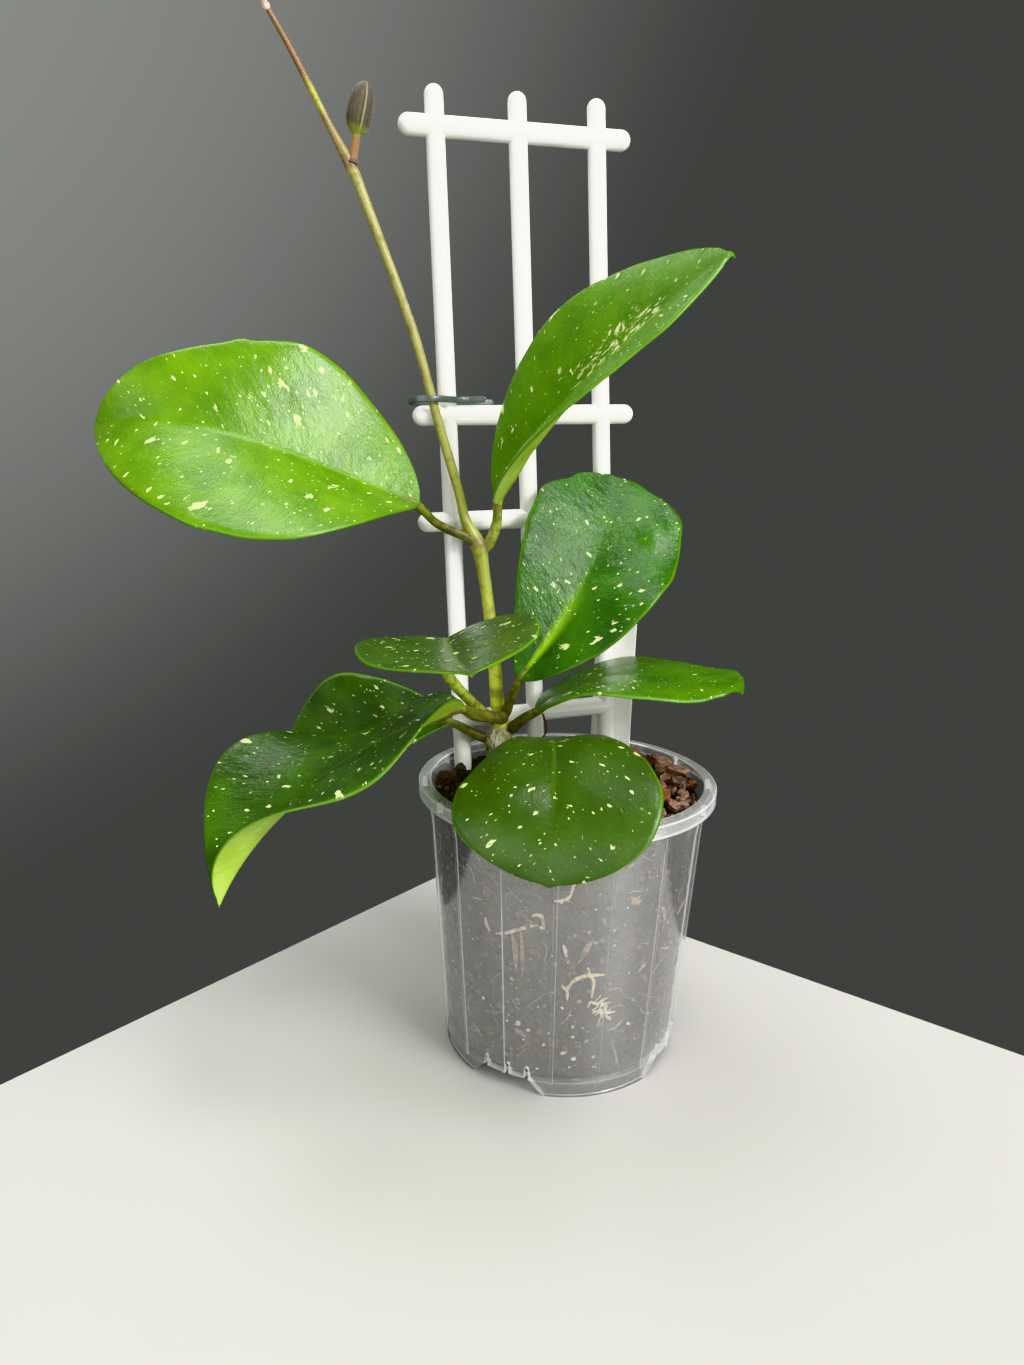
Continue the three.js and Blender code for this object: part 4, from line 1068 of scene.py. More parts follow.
def pot_profile():
    """Radius, height and the slot of the face that follows, from the foot round to the inside."""
    under, top, skirt = FLOOR_TOP - WALL, POT_HEIGHT, POT_HEIGHT - RIM_SKIRT
    base, mouth, lip = inner_radius(0), inner_radius(POT_HEIGHT), RIM_RADIUS - WALL
    outline = [
        (0.01, 0, CLEAR), (FOOT_RADIUS, 0, EDGE_GLINT), (FOOT_RADIUS + 0.5, 0.4, CLEAR),
        (FOOT_RADIUS + 4, under, CLEAR), (base - 0.8, under, CLEAR), (base - 0.4, under - 0.3, CLEAR),
        (base - 0.4, 0.3, EDGE_GLINT), (base - 0.1, 0, EDGE_GLINT), (BASE_RADIUS - 0.3, 0, EDGE_GLINT),
        (BASE_RADIUS, 0.35, CLEAR), (wall_radius(6.9), 6.9, MILKY),
        (wall_radius(7.2) + 0.12, 7.15, MILKY), (wall_radius(7.5), 7.45, CLEAR),
    ]
    outline += [(wall_radius(h), h, CLEAR) for h in (9, 14, 30, 50, 70, 90, 105)]
    for count, height in enumerate((110.5, 113, 115.5)):
        radius = wall_radius(height) + 0.25 * count
        outline += [(radius, height - 0.25, MILKY), (radius + 0.25, height + 0.05, CLEAR)]
    outline += [
        (mouth + WALL + 0.55, top - WALL - 0.5, CLEAR), (mouth + WALL + 1.0, top - WALL, MILKY),
        (lip - 0.4, top - WALL, MILKY), (lip, top - WALL - 0.4, MILKY), (lip, skirt + 0.35, EDGE_GLINT),
        (lip + 0.35, skirt, EDGE_GLINT), (RIM_RADIUS - 0.35, skirt, EDGE_GLINT), (RIM_RADIUS, skirt + 0.35, MILKY),
        (RIM_RADIUS, top - 0.9, EDGE_GLINT), (RIM_RADIUS - 0.15, top - 0.6, EDGE_GLINT),
        (RIM_RADIUS - 0.5, top - 0.45, MILKY), (RIM_RADIUS - 2.4, top - 0.45, MILKY),
        (RIM_RADIUS - 2.8, top - 0.05, MILKY), (RIM_RADIUS - 3.1, top, MILKY),
        (mouth + 0.5, top, EDGE_GLINT), (mouth + 0.15, top - 0.2, EDGE_GLINT), (mouth, top - 0.6, CLEAR),
    ]
    outline += [(inner_radius(h), h, CLEAR) for h in (116, 105, 85, 60, 35, FLOOR_TOP + 1.6)]
    floor_edge = inner_radius(FLOOR_TOP)
    outline += [
        (floor_edge - 0.5, FLOOR_TOP + 0.4, CLEAR), (floor_edge - 1.6, FLOOR_TOP, CLEAR),
        (FOOT_RADIUS + 3, FLOOR_TOP, CLEAR), (FOOT_RADIUS - 1, WALL, CLEAR), (0.01, WALL, CLEAR),
    ]
    return np.array(outline)


RIB_TOP = 0.6  # degrees from a rib's middle to the edges of its top
RIB_FOOT = 0.85  # and to where its sides meet the wall
RIB_HEIGHT = 0.42
POT_CREASE = 28.0


def pot_angles():
    """Where the columns of the wall stand, and how far each is from its rib's middle, in degrees."""
    spacing = 360 / RIB_COUNT
    offsets = [-RIB_FOOT, -RIB_TOP, 0, RIB_TOP, RIB_FOOT, *np.linspace(3, spacing - 3, 11)]
    columns = [(rib + offset, abs(offset)) for rib in spread_round(RIB_COUNT) for offset in offsets]
    return sorted(columns)


def prism(name, outline, near, far, degrees, looks, slot):
    """An outline in (across, height) drawn straight outwards through the wall."""
    turn = math.radians(degrees)
    out, side = polar(1, turn, 0), polar(1, turn + math.pi / 2, 0)
    outline = np.array(outline)
    flat = outline[:, :1] * side + outline[:, 1:] * (0, 0, 1)
    faces = closed_faces(2, len(outline))
    points = np.vstack([flat + out * near, flat + out * far])
    piece = make_piece(name, points, faces, looks, [slot] * len(faces))
    mesh = bmesh.new()
    mesh.from_mesh(piece.data)
    bmesh.ops.recalc_face_normals(mesh, faces=mesh.faces)
    mesh.to_mesh(piece.data)
    mesh.free()
    return piece


def turned_pot(looks):
    """The wall with its ribs, the rim and the floor as one closed sheet, turned round the axis."""
    profile = pot_profile()
    radii, heights, slots = profile.T
    columns = pot_angles()
    low, high = 1.0, POT_HEIGHT - RIM_SKIRT
    ribbed = (radii >= wall_radius(heights) - 0.01) & (heights > low) & (heights < high)
    ribbed &= radii < RIM_RADIUS - WALL - 0.5
    points = []
    for degrees, offset in columns:
        radius = radii + RIB_HEIGHT * (offset < RIB_TOP + 0.01) * ribbed
        points.append(polar(radius, math.radians(degrees), heights))
    count, rows = len(columns), len(profile)
    grid = np.arange(count * rows).reshape(count, rows)
    ahead = np.roll(grid, -1, axis=0)
    faces = np.stack([grid[:, :-1], ahead[:, :-1], ahead[:, 1:], grid[:, 1:]], -1).reshape(-1, 4).tolist()
    faces += [grid[:, 0][::-1].tolist(), grid[:, -1].tolist()]
    where = np.tile(slots[:-1].astype(int), (count, 1))
    for at in range(count):
        edges = sorted([columns[at][1], columns[(at + 1) % count][1]])
        if edges == [RIB_TOP, RIB_FOOT]:
            where[at, ribbed[:-1] & ribbed[1:]] = RIB_GLINT
    where = where.reshape(-1).tolist() + [CLEAR, CLEAR]
    return make_piece("clear_pot", np.vstack(points), faces, looks, where)


def make_pot():
    """The turned pot with webs under its rim and drain notches in its base ring."""
    looks = [clear_look(*figures) for figures in POT_LOOKS]
    pot = turned_pot(looks)
    high = POT_HEIGHT - RIM_SKIRT
    web = [(-0.45, high + 0.3), (0.45, high + 0.3), (0.45, POT_HEIGHT - 0.7), (-0.45, POT_HEIGHT - 0.7)]
    webs = [prism("web", web, WALL_TOP_RADIUS - 0.6, RIM_RADIUS - 0.5, degrees, looks, WEB_GLINT)
            for degrees in spread_round(WEB_COUNT)]
    apply_boolean(pot, "UNION", webs, POT_CREASE)
    top = FLOOR_TOP - WALL
    notch = [(-18, -1), (18, -1), (17, 0.3), (10.9, top - 0.3), (10.2, top),
             (-10.2, top), (-10.9, top - 0.3), (-17, 0.3)]
    cutters = []
    for degrees in spread_round(NOTCH_COUNT):
        cutters.append(prism("notch", notch, 46, 60, degrees, looks, EDGE_GLINT))
        for across in (-9, 1.6, 10.2):
            slit = [(across - 0.8, top - 1), (across + 0.8, top - 1), (across + 0.8, 12),
                    (across, 13), (across - 0.8, 12)]
            cutters.append(prism("slot", slit, 49.5, 60, degrees, looks, EDGE_GLINT))
    apply_boolean(pot, "DIFFERENCE", cutters, POT_CREASE)
    return settle(pot, "clear_plastic", "pot")


make_pot()


# ---- potting mix ---------------------------------------------------------------
GAP = 0.3  # between the pot's wall and what lies against it


def soil_height(x, y):
    """The height of the mix's crumbly top."""
    broad = 1.2 * np.sin(0.11 * x + 1) * np.cos(0.09 * y)
    fine = 0.6 * np.sin(0.3 * x - 0.26 * y + 2)
    crumbs = 0.8 * np.sin(1.1 * x + 2 * np.sin(0.7 * y)) * np.sin(1.3 * y + 2 * np.sin(0.6 * x))
    return SOIL_LEVEL + broad + fine + crumbs


def mix_look():
    """Dark crumbly mix with small chips and a few pale bits."""
    look = Look("mix_crumbs")
    place = look.place()
    grit = look.noise(place, 420.0, 6.0, 0.7)
    clumps = look.noise(place, 85.0, 4.0, 0.6)
    colour = look.mix(look.step(clumps, 0.35, 0.7), (0.017, 0.013, 0.009), (0.05, 0.034, 0.023))
    colour = look.paint(colour, (0.12, 0.085, 0.06), look.step(grit, 0.5, 0.75), 0.55)
    bits = look.cells(ragged(look, place, 300.0, 0.002), 330.0)
    chance = look.split(bits["Color"])
    chip = look.times(look.step(bits["Distance"], 0.5, 0.3), look.step(chance[0], 0.25, 0.2))
    colour = look.paint(colour, (0.12, 0.065, 0.04), chip, 0.45)
    pale = look.times(look.step(bits["Distance"], 0.35, 0.2), look.step(chance[1], 0.06, 0.05))
    colour = look.paint(colour, (0.36, 0.32, 0.26), pale, 0.8)
    height = look.times_plus(look.math("SUBTRACT", 1.0, bits["Distance"]), 0.7, grit)
    return look.surface(colour, 0.88, height, 0.0022, 0.9)


def make_mix():
    """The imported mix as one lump, with a crumbly top and an uneven side."""
    sides = 220
    angle = circle(sides)
    rows = [(0.01, WALL + GAP), (FOOT_RADIUS - 1.6, WALL + GAP), (FOOT_RADIUS + 2.4, FLOOR_TOP + GAP)]
    rows += [(inner_radius(FLOOR_TOP, GAP) - 0.6, FLOOR_TOP + GAP)]
    rows += [(inner_radius(h, GAP), h) for h in np.linspace(FLOOR_TOP + 1, SOIL_LEVEL - 3, 60)]
    rings = []
    for radius, height in rows:
        side = np.full(sides, radius)
        if height > FLOOR_TOP + 0.5:
            rough = 0.5 + 0.5 * np.sin(9 * angle + height / 5) * np.sin(height / 3 + 3 * np.sin(7 * angle))
            side = side - 1.1 - 0.8 * rough**3
        rings.append(polar(side, angle, np.full(sides, height)))
    for share in np.linspace(0.985, 0.0005, 70):
        radius = inner_radius(SOIL_LEVEL, GAP) * share
        top = soil_height(radius * np.cos(angle), radius * np.sin(angle))
        rings.append(polar(radius, angle, top))
    piece = make_piece("packed_mix", np.vstack(rings), closed_faces(len(rings), sides), [mix_look()])
    return settle(piece, "potting_mix", "potting_mix")


make_mix()


# ---- bark, crumbs, perlite and fibres --------------------------------------------
def bark_look(name, dark, light, seed):
    """Layered bark from dark to light, with dark patches and pale grain."""
    look = Look(name)
    place = look.moved(look.place(), seed)
    layers = look.noise(look.scaled(place, (1.0, 1.0, 3.4)), 300.0, 5.0, 0.65, 0.8)
    patches = look.noise(place, 110.0, 3.0)
    colour = look.mix(look.step(layers, 0.38, 0.68), dark, light)
    half_dark = tuple(0.45 * part for part in dark)
    colour = look.paint(colour, half_dark, look.step(patches, 0.5, 0.66), 0.7)
    grain = look.noise(place, 1400.0, 4.0, 0.7)
    pale = tuple(min(1.0, 1.7 * part + 0.03) for part in light)
    colour = look.paint(colour, pale, look.step(grain, 0.56, 0.78), 0.45)
    height = look.times_plus(grain, 0.35, layers)
    return look.surface(colour, 0.82, height, 0.0013, 0.9)


def bark_slab(source, length, width, height, corners=8):
    """A flat chip of bark: a torn angular outline in thin uneven layers."""
    even = circle(corners)
    turn = np.sort(source.uniform(0, 2 * np.pi, corners) * 0.25 + even)
    reach = source.uniform(0.78, 1.05, corners)
    blunt = source.uniform(0, np.pi)
    square = 1 / np.maximum(np.abs(np.cos(turn - blunt)), np.abs(np.sin(turn - blunt))) ** 0.6
    outline = np.stack([np.cos(turn), np.sin(turn)], -1) * (reach * square)[:, None] / 1.12
    rings = []
    for size, share in ((0.9, 0.0), (1.0, 0.35), (0.94, 0.55), (0.93, 1.0)):
        inset = size * source.uniform(0.95, 1.05, corners)[:, None]
        lift = (share - 0.5) * height + source.normal(scale=0.06 * height, size=corners)
        rings.append(np.column_stack([outline * inset * (length / 2, width / 2), lift]))
    crown = rings[-1] * (0.45, 0.45, 1)
    crown[:, 2] += source.normal(scale=0.08 * height, size=corners)
    points = np.vstack([*rings, crown])
    bow = source.uniform(-0.02, 0.02) / max(length, 3) * 10
    points[:, 2] += bow * points[:, 0] ** 2
    return points, closed_faces(len(rings) + 1, corners)


def crumb(source, length, width, height):
    """A small angular grain: a ball of few faces with every corner moved at random."""
    rows, sides = 4, 7
    turn = circle(sides)
    tilt, turn = np.meshgrid(np.linspace(0.3, np.pi - 0.3, rows), turn, indexing="ij")
    ball = np.stack([np.sin(tilt) * np.cos(turn), np.sin(tilt) * np.sin(turn), np.cos(tilt)], -1)
    ball = ball.reshape(-1, 3)
    ball += source.normal(scale=0.12, size=ball.shape)
    points = ball * (length / 1.9, width / 1.9, height / 1.9)
    return points, [face[::-1] for face in closed_faces(rows, sides)]


def turned(points, source, tilt, heading=None):
    """The points turned to a random heading and tipped by up to tilt degrees."""
    heading = source.uniform(0, 360) if heading is None else heading
    lean = Matrix.Rotation(math.radians(source.uniform(-tilt, tilt)), 3, "X")
    tip = Matrix.Rotation(math.radians(source.uniform(-tilt, tilt)), 3, "Y")
    spin = Matrix.Rotation(math.radians(heading), 3, "Z")
    return points @ np.array(spin @ tip @ lean).T


def joined_piece(name, parts, materials, crease=20):
    """One piece from many (points, faces, slot) parts."""
    full = [(points, faces, np.zeros((len(points), 2)), slot) for points, faces, slot in parts]
    points, faces, _, where = merge(full)
    return make_piece(name, points, faces, materials, where, crease=crease)


BARK_CHIPS = [  # x, y, heading in degrees, length, width and height
    (-49, 22, 40, 14, 9, 4), (-47, 3, 100, 12, 8, 4.5), (-40, -22, 140, 13, 8, 4),
    (-20, -40, 10, 14, 9, 3.6), (6, -46, 170, 12, 8, 4), (29, -33, 30, 14, 9, 4),
    (46, -17, 70, 12, 8, 4.4), (48, 2, 110, 12, 9, 5), (36, 14, 20, 13, 9, 4.6),
    (50, 17, 60, 9, 7, 4), (14, 20, 150, 14, 9, 4.2), (-9, 52, 5, 12, 7, 4),
    (14, 49, 165, 11, 7, 4), (-30, 8, 60, 13, 9, 4),
]
BARK = [
    bark_look("bark_red", (0.155, 0.085, 0.062), (0.38, 0.235, 0.175), 0.0),
    bark_look("bark_brown", (0.11, 0.07, 0.053), (0.3, 0.205, 0.155), 4.0),
    bark_look("bark_orange", (0.17, 0.06, 0.025), (0.38, 0.16, 0.07), 8.0),
    bark_look("crumb_dark", (0.016, 0.011, 0.009), (0.06, 0.04, 0.03), 12.0),
]
RED, BROWN, ORANGE, DARK = range(4)
ORANGE_CHIP = 6


def heap(x):
    """How much higher the loose bark is piled up on the right."""
    return 2.4 * min(max((x - 15) / 25, 0), 1)


def lay_chips():
    """The larger chips of bark, each one a piece."""
    black = bark_look("bark_black", (0.02, 0.012, 0.009), (0.1, 0.055, 0.04), 14.0)
    for number, (x, y, degrees, length, width, height) in enumerate(BARK_CHIPS, 1):
        source = np.random.default_rng(100 + number)
        points, faces = bark_slab(source, length, width, height, 9)
        lift = 1.3
        look = black if x < -35 else BARK[number % 2]
        if number == ORANGE_CHIP:  # it lies on top of the others
            lift = 3.4
            look = BARK[ORANGE]
        middle = soil_height(x, y) + heap(x) + lift + height / 2
        points = turned(points, source, 9, degrees) + (x, y, middle)
        chip = make_piece(f"bark_{number}", points, faces, [look], crease=20)
        settle(chip, "bark", f"bark_chip_{number}")


lay_chips()


KEPT_CLEAR = (  # x, y and how far round it, for the rods, the stem and the label
    (-34, 38.5, 7), (-1, 38.5, 7), (35, 38.5, 7), (-20.5, 30, 8), (38, 42, 9),
)
LOOSE_BARK = ((11, 85, 1.2), (7, 190, 1.0), (4, 330, 0.8), (2.3, 850, 0.6))  # size, count, lift


def clear_of_stems(x, y):
    """False where a rod, the label or the stem comes out of the mix."""
    return all(math.hypot(x - a, y - b) > reach for a, b, reach in KEPT_CLEAR)


def scatter_bark():
    """Loose chips and crumbs all over the top of the mix."""
    edge = inner_radius(SOIL_LEVEL, 1)
    parts = []
    source = np.random.default_rng(5)
    for size, count, lift in LOOSE_BARK:
        for _ in range(count):
            radius = (edge - size / 3) * math.sqrt(source.uniform())
            angle = source.uniform(0, 2 * math.pi)
            x, y = radius * math.cos(angle), radius * math.sin(angle)
            if not clear_of_stems(x, y):
                continue
            length = size * source.uniform(0.75, 1.3)
            width, tall = length * source.uniform(0.5, 0.85), length * source.uniform(0.2, 0.42)
            if size > 3:
                points, faces = bark_slab(source, length, width, tall)
            else:
                points, faces = crumb(source, length, width, length * 0.6)
            height = soil_height(x, y) + lift + heap(x) + source.uniform(0, 1.6)
            points = turned(points, source, 30) + (x, y, height)
            if x < -15:
                kinds = [BROWN, DARK, DARK, DARK]
            elif size > 5:
                kinds = [RED, RED, RED, BROWN, BROWN, ORANGE, DARK]
            else:
                kinds = [BROWN, DARK, DARK, DARK, RED]
            parts.append((points, faces, int(source.choice(kinds))))
    return settle(joined_piece("loose_bark", parts, BARK), "bark")


scatter_bark()


def on_wall(degrees, height, depth=0.0):
    """A point against the wall's inside, depth mm away from it."""
    return polar(inner_radius(height, GAP + depth), math.radians(degrees), height)


def wall_path(stations, diameter, end=0.5, middle=1.0):
    """Knots along the wall's inside through (degrees, height) stations, thinner at both ends."""
    knots = []
    for at, (degrees, height) in enumerate(stations):
        share = end if at in (0, len(stations) - 1) else middle
        knots.append((*on_wall(degrees, height, diameter / 2), diameter * share))
    return knots


def wall_thread(stations, diameter, sides=7, steps=8):
    """A root or fibre along the wall's inside."""
    return tube(wall_path(stations, diameter), sides, steps * (len(stations) - 1) + 4)[:2]


def wandering(source, length):
    """Stations of a fibre that wanders over the wall from a random place."""
    degrees, height = source.uniform(-180, 180), source.uniform(12, 112)
    heading = source.uniform(0, 2 * math.pi)
    stations = []
    for _ in range(5):
        stations.append((degrees, height))
        heading += source.uniform(-0.7, 0.7)
        degrees += math.degrees(length / 4 * math.cos(heading) / BASE_RADIUS)
        height = min(max(height + length / 4 * math.sin(heading), 12), 112)
    return stations


def flat_on_wall(points, degrees, height, turn=0.0):
    """A chip laid flat against the wall's inside, turned by turn degrees."""
    angle, spin = math.radians(degrees), math.radians(turn)
    out, side = polar(1, angle, 0), polar(1, angle + math.pi / 2, 0)
    x, y, z = points.T[:, :, None]
    x, y = x * math.cos(spin) - y * math.sin(spin), x * math.sin(spin) + y * math.cos(spin)
    sunk = x**2 / (2 * BASE_RADIUS)  # follows the wall's curve
    return on_wall(degrees, height, 0.45) + side * x + y * (0, 0, 1) + out * (z * 0.5 - sunk)


# What shows through the front of the wall, as (degrees, height) against it.
PERLITE_SPOTS = [  # and a size
    (-129.5, 32.6, 2.6), (-124.5, 30.4, 1.7), (-104.6, 33.9, 1.7), (-104.4, 29, 1.3), (-108.5, 21.1, 1.9),
    (-117.3, 24.3, 1.5), (-103.5, 18.1, 2), (-94, 18.3, 1.6), (-77.4, 31.3, 1.7), (-147.9, 38.7, 1.6),
    (-119.4, 79.8, 1.5), (-111.5, 91.8, 1.3), (-97.2, 102.6, 1.3),
]
BARK_STRIPS = [  # two ends and a width
    ((-131.8, 77), (-129.5, 56), 3.0), ((-128.4, 80), (-126.2, 52), 2.4),
    ((-96.9, 78.2), (-103.8, 62.5), 3.2), ((-131.8, 29.9), (-124.8, 26.5), 2.6),
    ((-84, 92), (-76, 88), 3.4), ((-64, 84), (-60, 74), 3.2),
]
FINE_ROOTS = [
    [(-152.4, 85), (-149, 85.6), (-145.9, 86)], [(-119.4, 85.5), (-118.3, 82.3), (-117.8, 79.2)],
    [(-74.7, 55.4), (-72.6, 57.1), (-70.5, 58.7)], [(-60.2, 61.9), (-57, 60.4), (-53.6, 59.8)],
    [(-49.1, 73.3), (-45, 75.4), (-41.5, 76.5)],
    [(-85.4, 23.7), (-83.3, 19.1), (-82, 14.5), (-80.3, 11.1)], [(-80.5, 33.9), (-84, 31.4), (-88.3, 30.1)],
    [(-156.1, 22.9), (-153, 21.4), (-150.2, 18.7)],
]
TAN_FIBRES = [
    [(-144.1, 99.7), (-141, 98.4), (-137.5, 98.3)], [(-90.3, 50.9), (-83.3, 49.5), (-83.4, 41.9)],
    [(-143, 48.7), (-140, 52.6), (-136.1, 55.4)], [(-153.1, 49.3), (-150, 53), (-147.7, 56.8)],
    [(-146.3, 67.5), (-143, 69), (-140.2, 68.9)], [(-73.9, 45.6), (-67, 41), (-59.7, 38)],
    [(-79.2, 110.1), (-76, 107.6), (-72.9, 106.4)],
]


WALL_LOOKS = (  # name, dark and light, and the slots below in the same order
    ("fibre_pale", (0.26, 0.2, 0.14), (0.5, 0.42, 0.31)),
    ("fibre_tan", (0.12, 0.07, 0.04), (0.28, 0.18, 0.11)),
    ("perlite", (0.55, 0.53, 0.49), (0.8, 0.78, 0.74)),
    ("splinter", (0.03, 0.022, 0.017), (0.12, 0.085, 0.065)),
    ("splinter_warm", (0.07, 0.04, 0.028), (0.2, 0.12, 0.085)),
    ("crumb_grey", (0.03, 0.026, 0.024), (0.26, 0.22, 0.19)),
    ("crumb_warm", (0.2, 0.11, 0.065), (0.42, 0.27, 0.18)),
    ("fibre_cream", (0.5, 0.42, 0.3), (0.8, 0.72, 0.56)),
)
PALE, TAN, PERLITE, SPLINTER, WARM_SPLINTER, GREY, WARM, CREAMY = range(8)
WALL_GRAINS = (  # how many, how large, from and to which height, and the slot
    (70, 1.1, 11, 46, PERLITE), (150, 0.7, 11, 112, PERLITE), (330, 4.2, 12, 112, SPLINTER),
    (190, 4.6, 12, 112, WARM_SPLINTER), (900, 1.6, 11, 113, GREY), (160, 1.3, 11, 112, WARM),
)


def wall_threads(source):
    """Fine roots and fibres against the wall."""
    parts = [(*wall_thread(stations, 0.9), PALE) for stations in FINE_ROOTS]
    for _ in range(26):  # a tuft of pale fibres at the foot of one root
        share = source.uniform()
        start = np.array([-95.4 + 6.5 * share, 46.5 - 8.5 * share]) + source.normal(scale=0.9, size=2)
        bend, end = start + source.normal(scale=1.6, size=2), start + source.normal(scale=2.6, size=2)
        parts.append((*wall_thread([start, bend, end], source.uniform(0.4, 1.1)), CREAMY))
    parts += [(*wall_thread(stations, 0.7), TAN) for stations in TAN_FIBRES]
    for _ in range(420):
        thin = source.uniform(0.12, 0.34)
        thread = wall_thread(wandering(source, source.uniform(3, 12)), thin, 4, 4)
        parts.append((*thread, int(source.choice([PALE, TAN, TAN, SPLINTER]))))
    return parts


def wall_grains(source):
    """Perlite, strips of bark, splinters and crumbs against the wall."""
    parts = []

    def add(shape, place, turn, slot):
        points, faces = shape
        parts.append((flat_on_wall(points, *place, turn), faces, slot))

    for degrees, height, size in PERLITE_SPOTS:
        grain = crumb(source, size * 1.1, size * 0.9, 1.6)
        add(grain, (degrees, height), source.uniform(0, 180), PERLITE)
    for start, end, width in BARK_STRIPS:
        middle = (np.array(start) + end) / 2
        flat = np.radians(end[0] - start[0]) * wall_radius(middle[1])
        length, turn = math.hypot(flat, end[1] - start[1]), math.atan2(end[1] - start[1], flat)
        add(bark_slab(source, length, width, 1.0), middle, math.degrees(turn), WARM)
    for count, size, low, high, slot in WALL_GRAINS:
        shape = bark_slab if size > 3 else crumb
        for _ in range(count):
            length = size * source.uniform(0.5, 1.4)
            grain = shape(source, length, length * source.uniform(0.4, 0.8), min(length * 0.5, 1.1))
            place = (source.uniform(-180, 180), source.uniform(low, high))
            add(grain, place, source.uniform(0, 180), slot)
    return parts


def scatter_behind_wall():
    """Everything that shows through the clear wall, as one piece."""
    source = np.random.default_rng(9)
    parts = wall_threads(source) + wall_grains(source)
    looks = [bark_look(*figures, 15.0 + 2 * at) for at, figures in enumerate(WALL_LOOKS)]
    return settle(joined_piece("mix_at_wall", parts, looks), "potting_mix")


scatter_behind_wall()


# ---- roots --------------------------------------------------------------------
ROOT_DIAMETER = 1.7
WALL_ROOTS = [  # clusters of strands, as (degrees, height) against the wall
    [
        [(-145.5, 77.9), (-144.9, 75.3), (-143.1, 72.2)],
        [(-139.9, 72.2), (-134.5, 74.2), (-129.9, 76.6), (-125.2, 79), (-120.8, 80.5)],
    ],
    [
        [(-105.9, 101.5), (-107.2, 98), (-108.6, 94), (-111.1, 92.5), (-114.4, 91.9)],
        [(-123.4, 84.2), (-121, 85.1), (-119, 84), (-118.2, 78.7)],
    ],
    [
        [(-110.3, 53.6), (-108, 52), (-105.5, 55.4), (-102, 57.5), (-98.2, 58.1), (-91.4, 57.7)],
        [(-108, 52), (-107.6, 49.4), (-107.4, 46.8)],
        [(-99, 61.7), (-98.2, 58.1), (-96.3, 55), (-96.6, 47.4)],
    ],
    [[(-110, 72.3), (-109, 69.1), (-107.7, 64.2)]],
]
HANGING_ROOT = [  # x, y, z and diameter
    (-1, 31, 144, 0.9), (0.4, 31, 139, 1), (0.9, 31.4, 135, 1), (-1.2, 32, 131, 1),
    (-3.4, 31.6, 128.5, 0.8),
]


def root_look(name, pale, tan, seed):
    """Dry root skin, mottled from tan to pale."""
    look = Look(name)
    place = look.moved(look.place(), seed)
    bark = look.noise(place, 520.0, 5.0, 0.65)
    colour = look.mix(look.step(bark, 0.35, 0.7), tan, pale)
    return look.surface(colour, 0.7, bark, 0.0006, 0.7)


def make_roots():
    """The roots along the wall, a piece a cluster, and the dry one by the middle rod."""
    pale = root_look("root_pale", (0.72, 0.6, 0.44), (0.45, 0.32, 0.2), 0.0)
    for number, strands in enumerate(WALL_ROOTS, 1):
        def knobbly(angle, reach):
            return 1 + 0.14 * wobble(reach / 1.3, number) + 0.05 * np.sin(2 * angle + reach)

        parts = []
        for stations in strands:
            path = wall_path(stations, ROOT_DIAMETER, 0.45, 0.85)
            parts.append((*tube(path, 10, 22 * (len(path) - 1), knobbly)[:2], 0))
        piece = joined_piece(f"root_{number}", parts, [pale], crease=70)
        settle(piece, "root", f"wall_root_{number}")
    dark = root_look("root_dark", (0.2, 0.13, 0.07), (0.05, 0.03, 0.018), 3.0)
    points, faces, _ = tube(HANGING_ROOT, 10, 60, lambda angle, reach: 1 + 0.12 * wobble(reach, 3))
    settle(make_piece("hanging_root", points, faces, [dark]), "root", "aerial_root")


make_roots()


# ---- floor, lights and camera ----------------------------------------------------
FLOOR_CORNER = (6.6, 185.9)
FLOOR_EDGES = (-146.65, -54.6)  # directions of its two edges, in degrees
FLOOR_REACH = 1500.0
FLOOR_THICKNESS = 20.0
PLANT_MIDDLE = Vector((-0.03, 0.0, 0.2))
WARM_WHITE = (1.0, 0.99, 0.97)
LIGHTS = (  # name, azimuth, elevation, distance, width, height, power and colour
    ("window", -62, 18, 1.6, 1.4, 1.2, 19, WARM_WHITE),
    ("core", -60, 31, 1.5, 0.6, 0.5, 20, WARM_WHITE),
    ("high_core", -58, 73, 1.5, 0.5, 0.5, 12, WARM_WHITE),
    ("panel", 118, 69, 1.7, 0.8, 0.8, 11, (1.0, 1.0, 1.0)),
    ("ceiling", 165, 74, 1.9, 2.8, 2.8, 24, (1.0, 1.0, 0.99)),
    ("fill", -140, 14, 1.6, 1.6, 1.0, 12, (0.99, 1.0, 1.0)),
)
WORLD_DIM = 0.092
WORLD_GLOWS = (  # direction, where it starts as a cosine, and strength
    ((-0.45, 0.75, 0.48), 0.55, 0.22),
    ((-0.75, -0.6, 0.4), -0.25, 0.14),
)


def make_floor():
    """A plain pale counter whose far corner lies behind the pot."""
    look = Look("floor_pale")
    tone = look.noise(look.place(), 3.0, 3.0)
    colour = look.mix(look.step(tone, 0.3, 0.7), (0.48, 0.475, 0.445), (0.45, 0.445, 0.415))
    floor_material = look.finish(look.principled(colour, 0.4))
    corner = np.array(FLOOR_CORNER)
    along = [FLOOR_REACH * np.array([math.cos(turn), math.sin(turn)]) for turn in np.radians(FLOOR_EDGES)]
    outline = (corner, corner + along[0], corner + along[0] + along[1], corner + along[1])
    points = [(*p, z) for z in (0.0, -FLOOR_THICKNESS) for p in outline]
    faces = [[0, 1, 2, 3], [7, 6, 5, 4]]
    for here, ahead in ((0, 1), (1, 2), (2, 3), (3, 0)):
        faces.append([here + 4, ahead + 4, ahead, here])
    make_piece("counter", points, faces, [floor_material], crease=30)


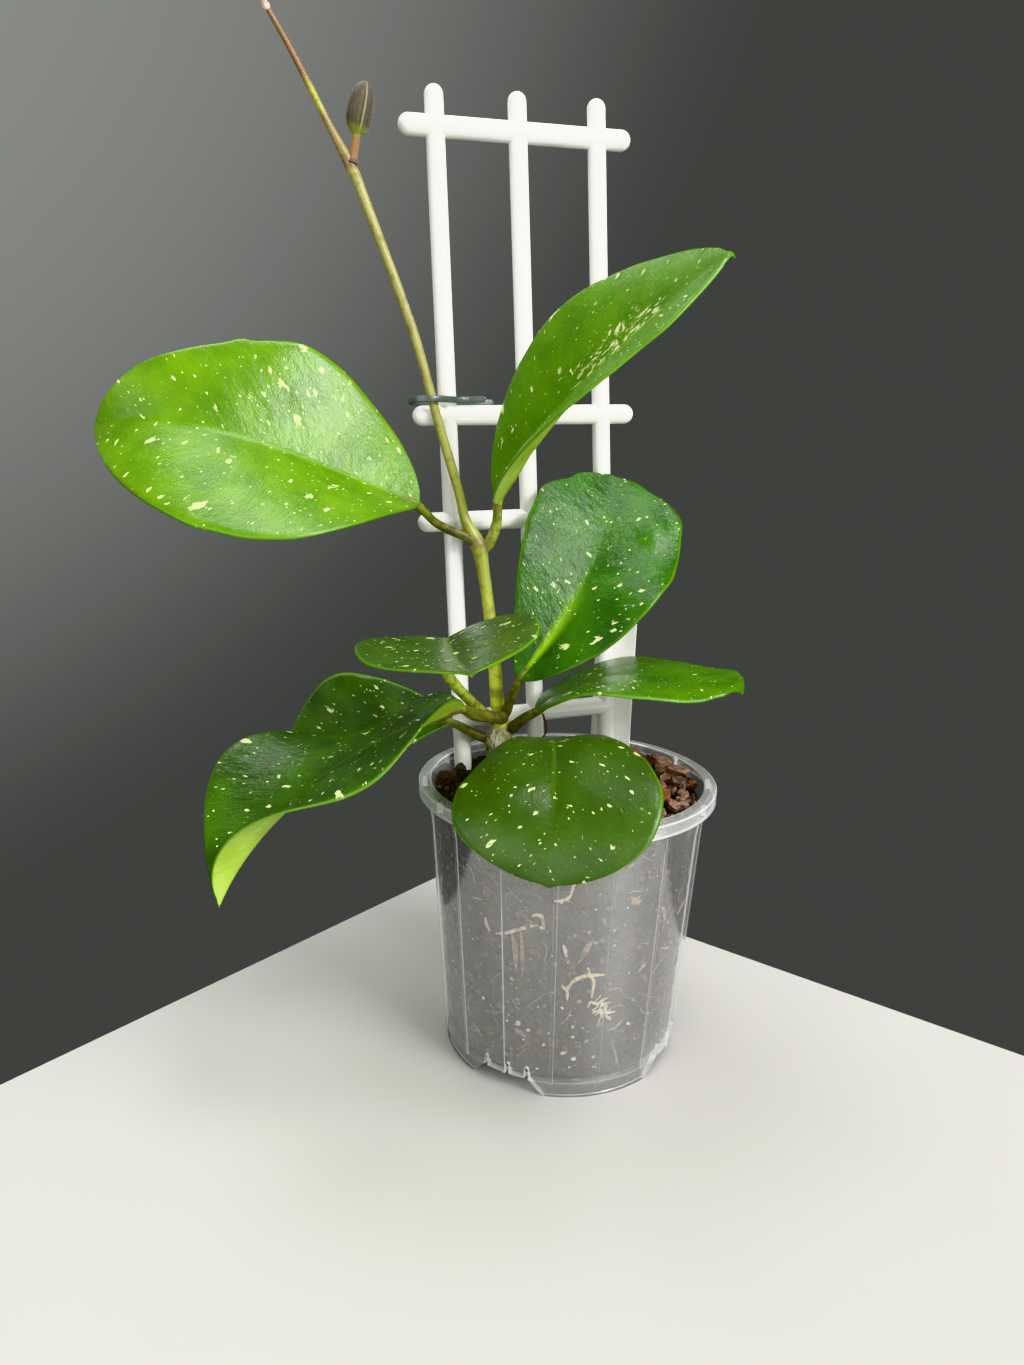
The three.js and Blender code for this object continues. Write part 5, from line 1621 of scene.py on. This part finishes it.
def add_light(name, azimuth, elevation, far, width, height, power, colour):
    """A soft rectangular light in a direction from the plant, in degrees, metres and watts."""
    data = bpy.data.lights.new(name, "AREA")
    data.shape = "RECTANGLE"
    data.size = width
    data.size_y = height
    data.energy = power
    data.color = colour
    lamp = bpy.data.objects.new(name, data)
    turn, lift = math.radians(azimuth), math.radians(elevation)
    away = Vector((math.cos(lift) * math.cos(turn), math.cos(lift) * math.sin(turn), math.sin(lift)))
    lamp.location = PLANT_MIDDLE + away * far
    lamp.rotation_euler = away.to_track_quat("Z", "Y").to_euler()
    lamp.visible_glossy = name != "ceiling"  # a fill that leaves no veil on the leaves
    bpy.context.scene.collection.objects.link(lamp)


def make_world():
    """A plain grey studio that is paler towards the back left and the front left."""
    sky = Look("studio", "World")
    place = sky.node("ShaderNodeTexCoord").outputs["Generated"]
    total = WORLD_DIM
    for direction, start, strength in WORLD_GLOWS:
        toward = {0: place, 1: Vector(direction).normalized()}
        inputs = {"Value": sky.node("ShaderNodeVectorMath", toward, operation="DOT_PRODUCT").outputs["Value"],
                  "From Min": start, "From Max": 1.0, "To Min": 0.0, "To Max": strength}
        glow = sky.node("ShaderNodeMapRange", inputs, interpolation_type="SMOOTHSTEP")
        total = sky.math("ADD", glow.outputs["Result"], total)
    light = {"Color": (0.97, 1.0, 0.95), "Strength": total}
    bpy.context.scene.world = sky.finish(sky.node("ShaderNodeBackground", light).outputs[0])


def make_stage():
    """The counter, the lights and the world, none of which is part of the plant."""
    make_floor()
    for figures in LIGHTS:
        add_light(*figures)
    make_world()
    bpy.context.scene.view_settings.view_transform = "Khronos PBR Neutral"


CAMERA_PLACE = (-0.1438, -0.3746, 0.2675)
CAMERA_AHEAD = Vector((0.29055, 0.92488, -0.24531))
CAMERA_RIGHT = Vector((0.95524, -0.29528, 0.01810))
CAMERA_LENS = 25.3  # mm, with the sensor's 36 mm along the picture's height


def make_camera():
    """Where the photograph was taken from, worked out from the pot and the trellis."""
    data = bpy.data.cameras.new("view")
    data.sensor_fit = "VERTICAL"
    data.sensor_height = 36
    data.lens = CAMERA_LENS
    data.clip_start = 0.01
    camera = bpy.data.objects.new("view", data)
    back = -CAMERA_AHEAD.normalized()
    right = (CAMERA_RIGHT - back * CAMERA_RIGHT.dot(back)).normalized()
    turn = Matrix((right, back.cross(right), back)).transposed()
    camera.matrix_world = Matrix.Translation(CAMERA_PLACE) @ turn.to_4x4()
    bpy.context.scene.collection.objects.link(camera)
    bpy.context.scene.camera = camera


make_stage()
make_camera()
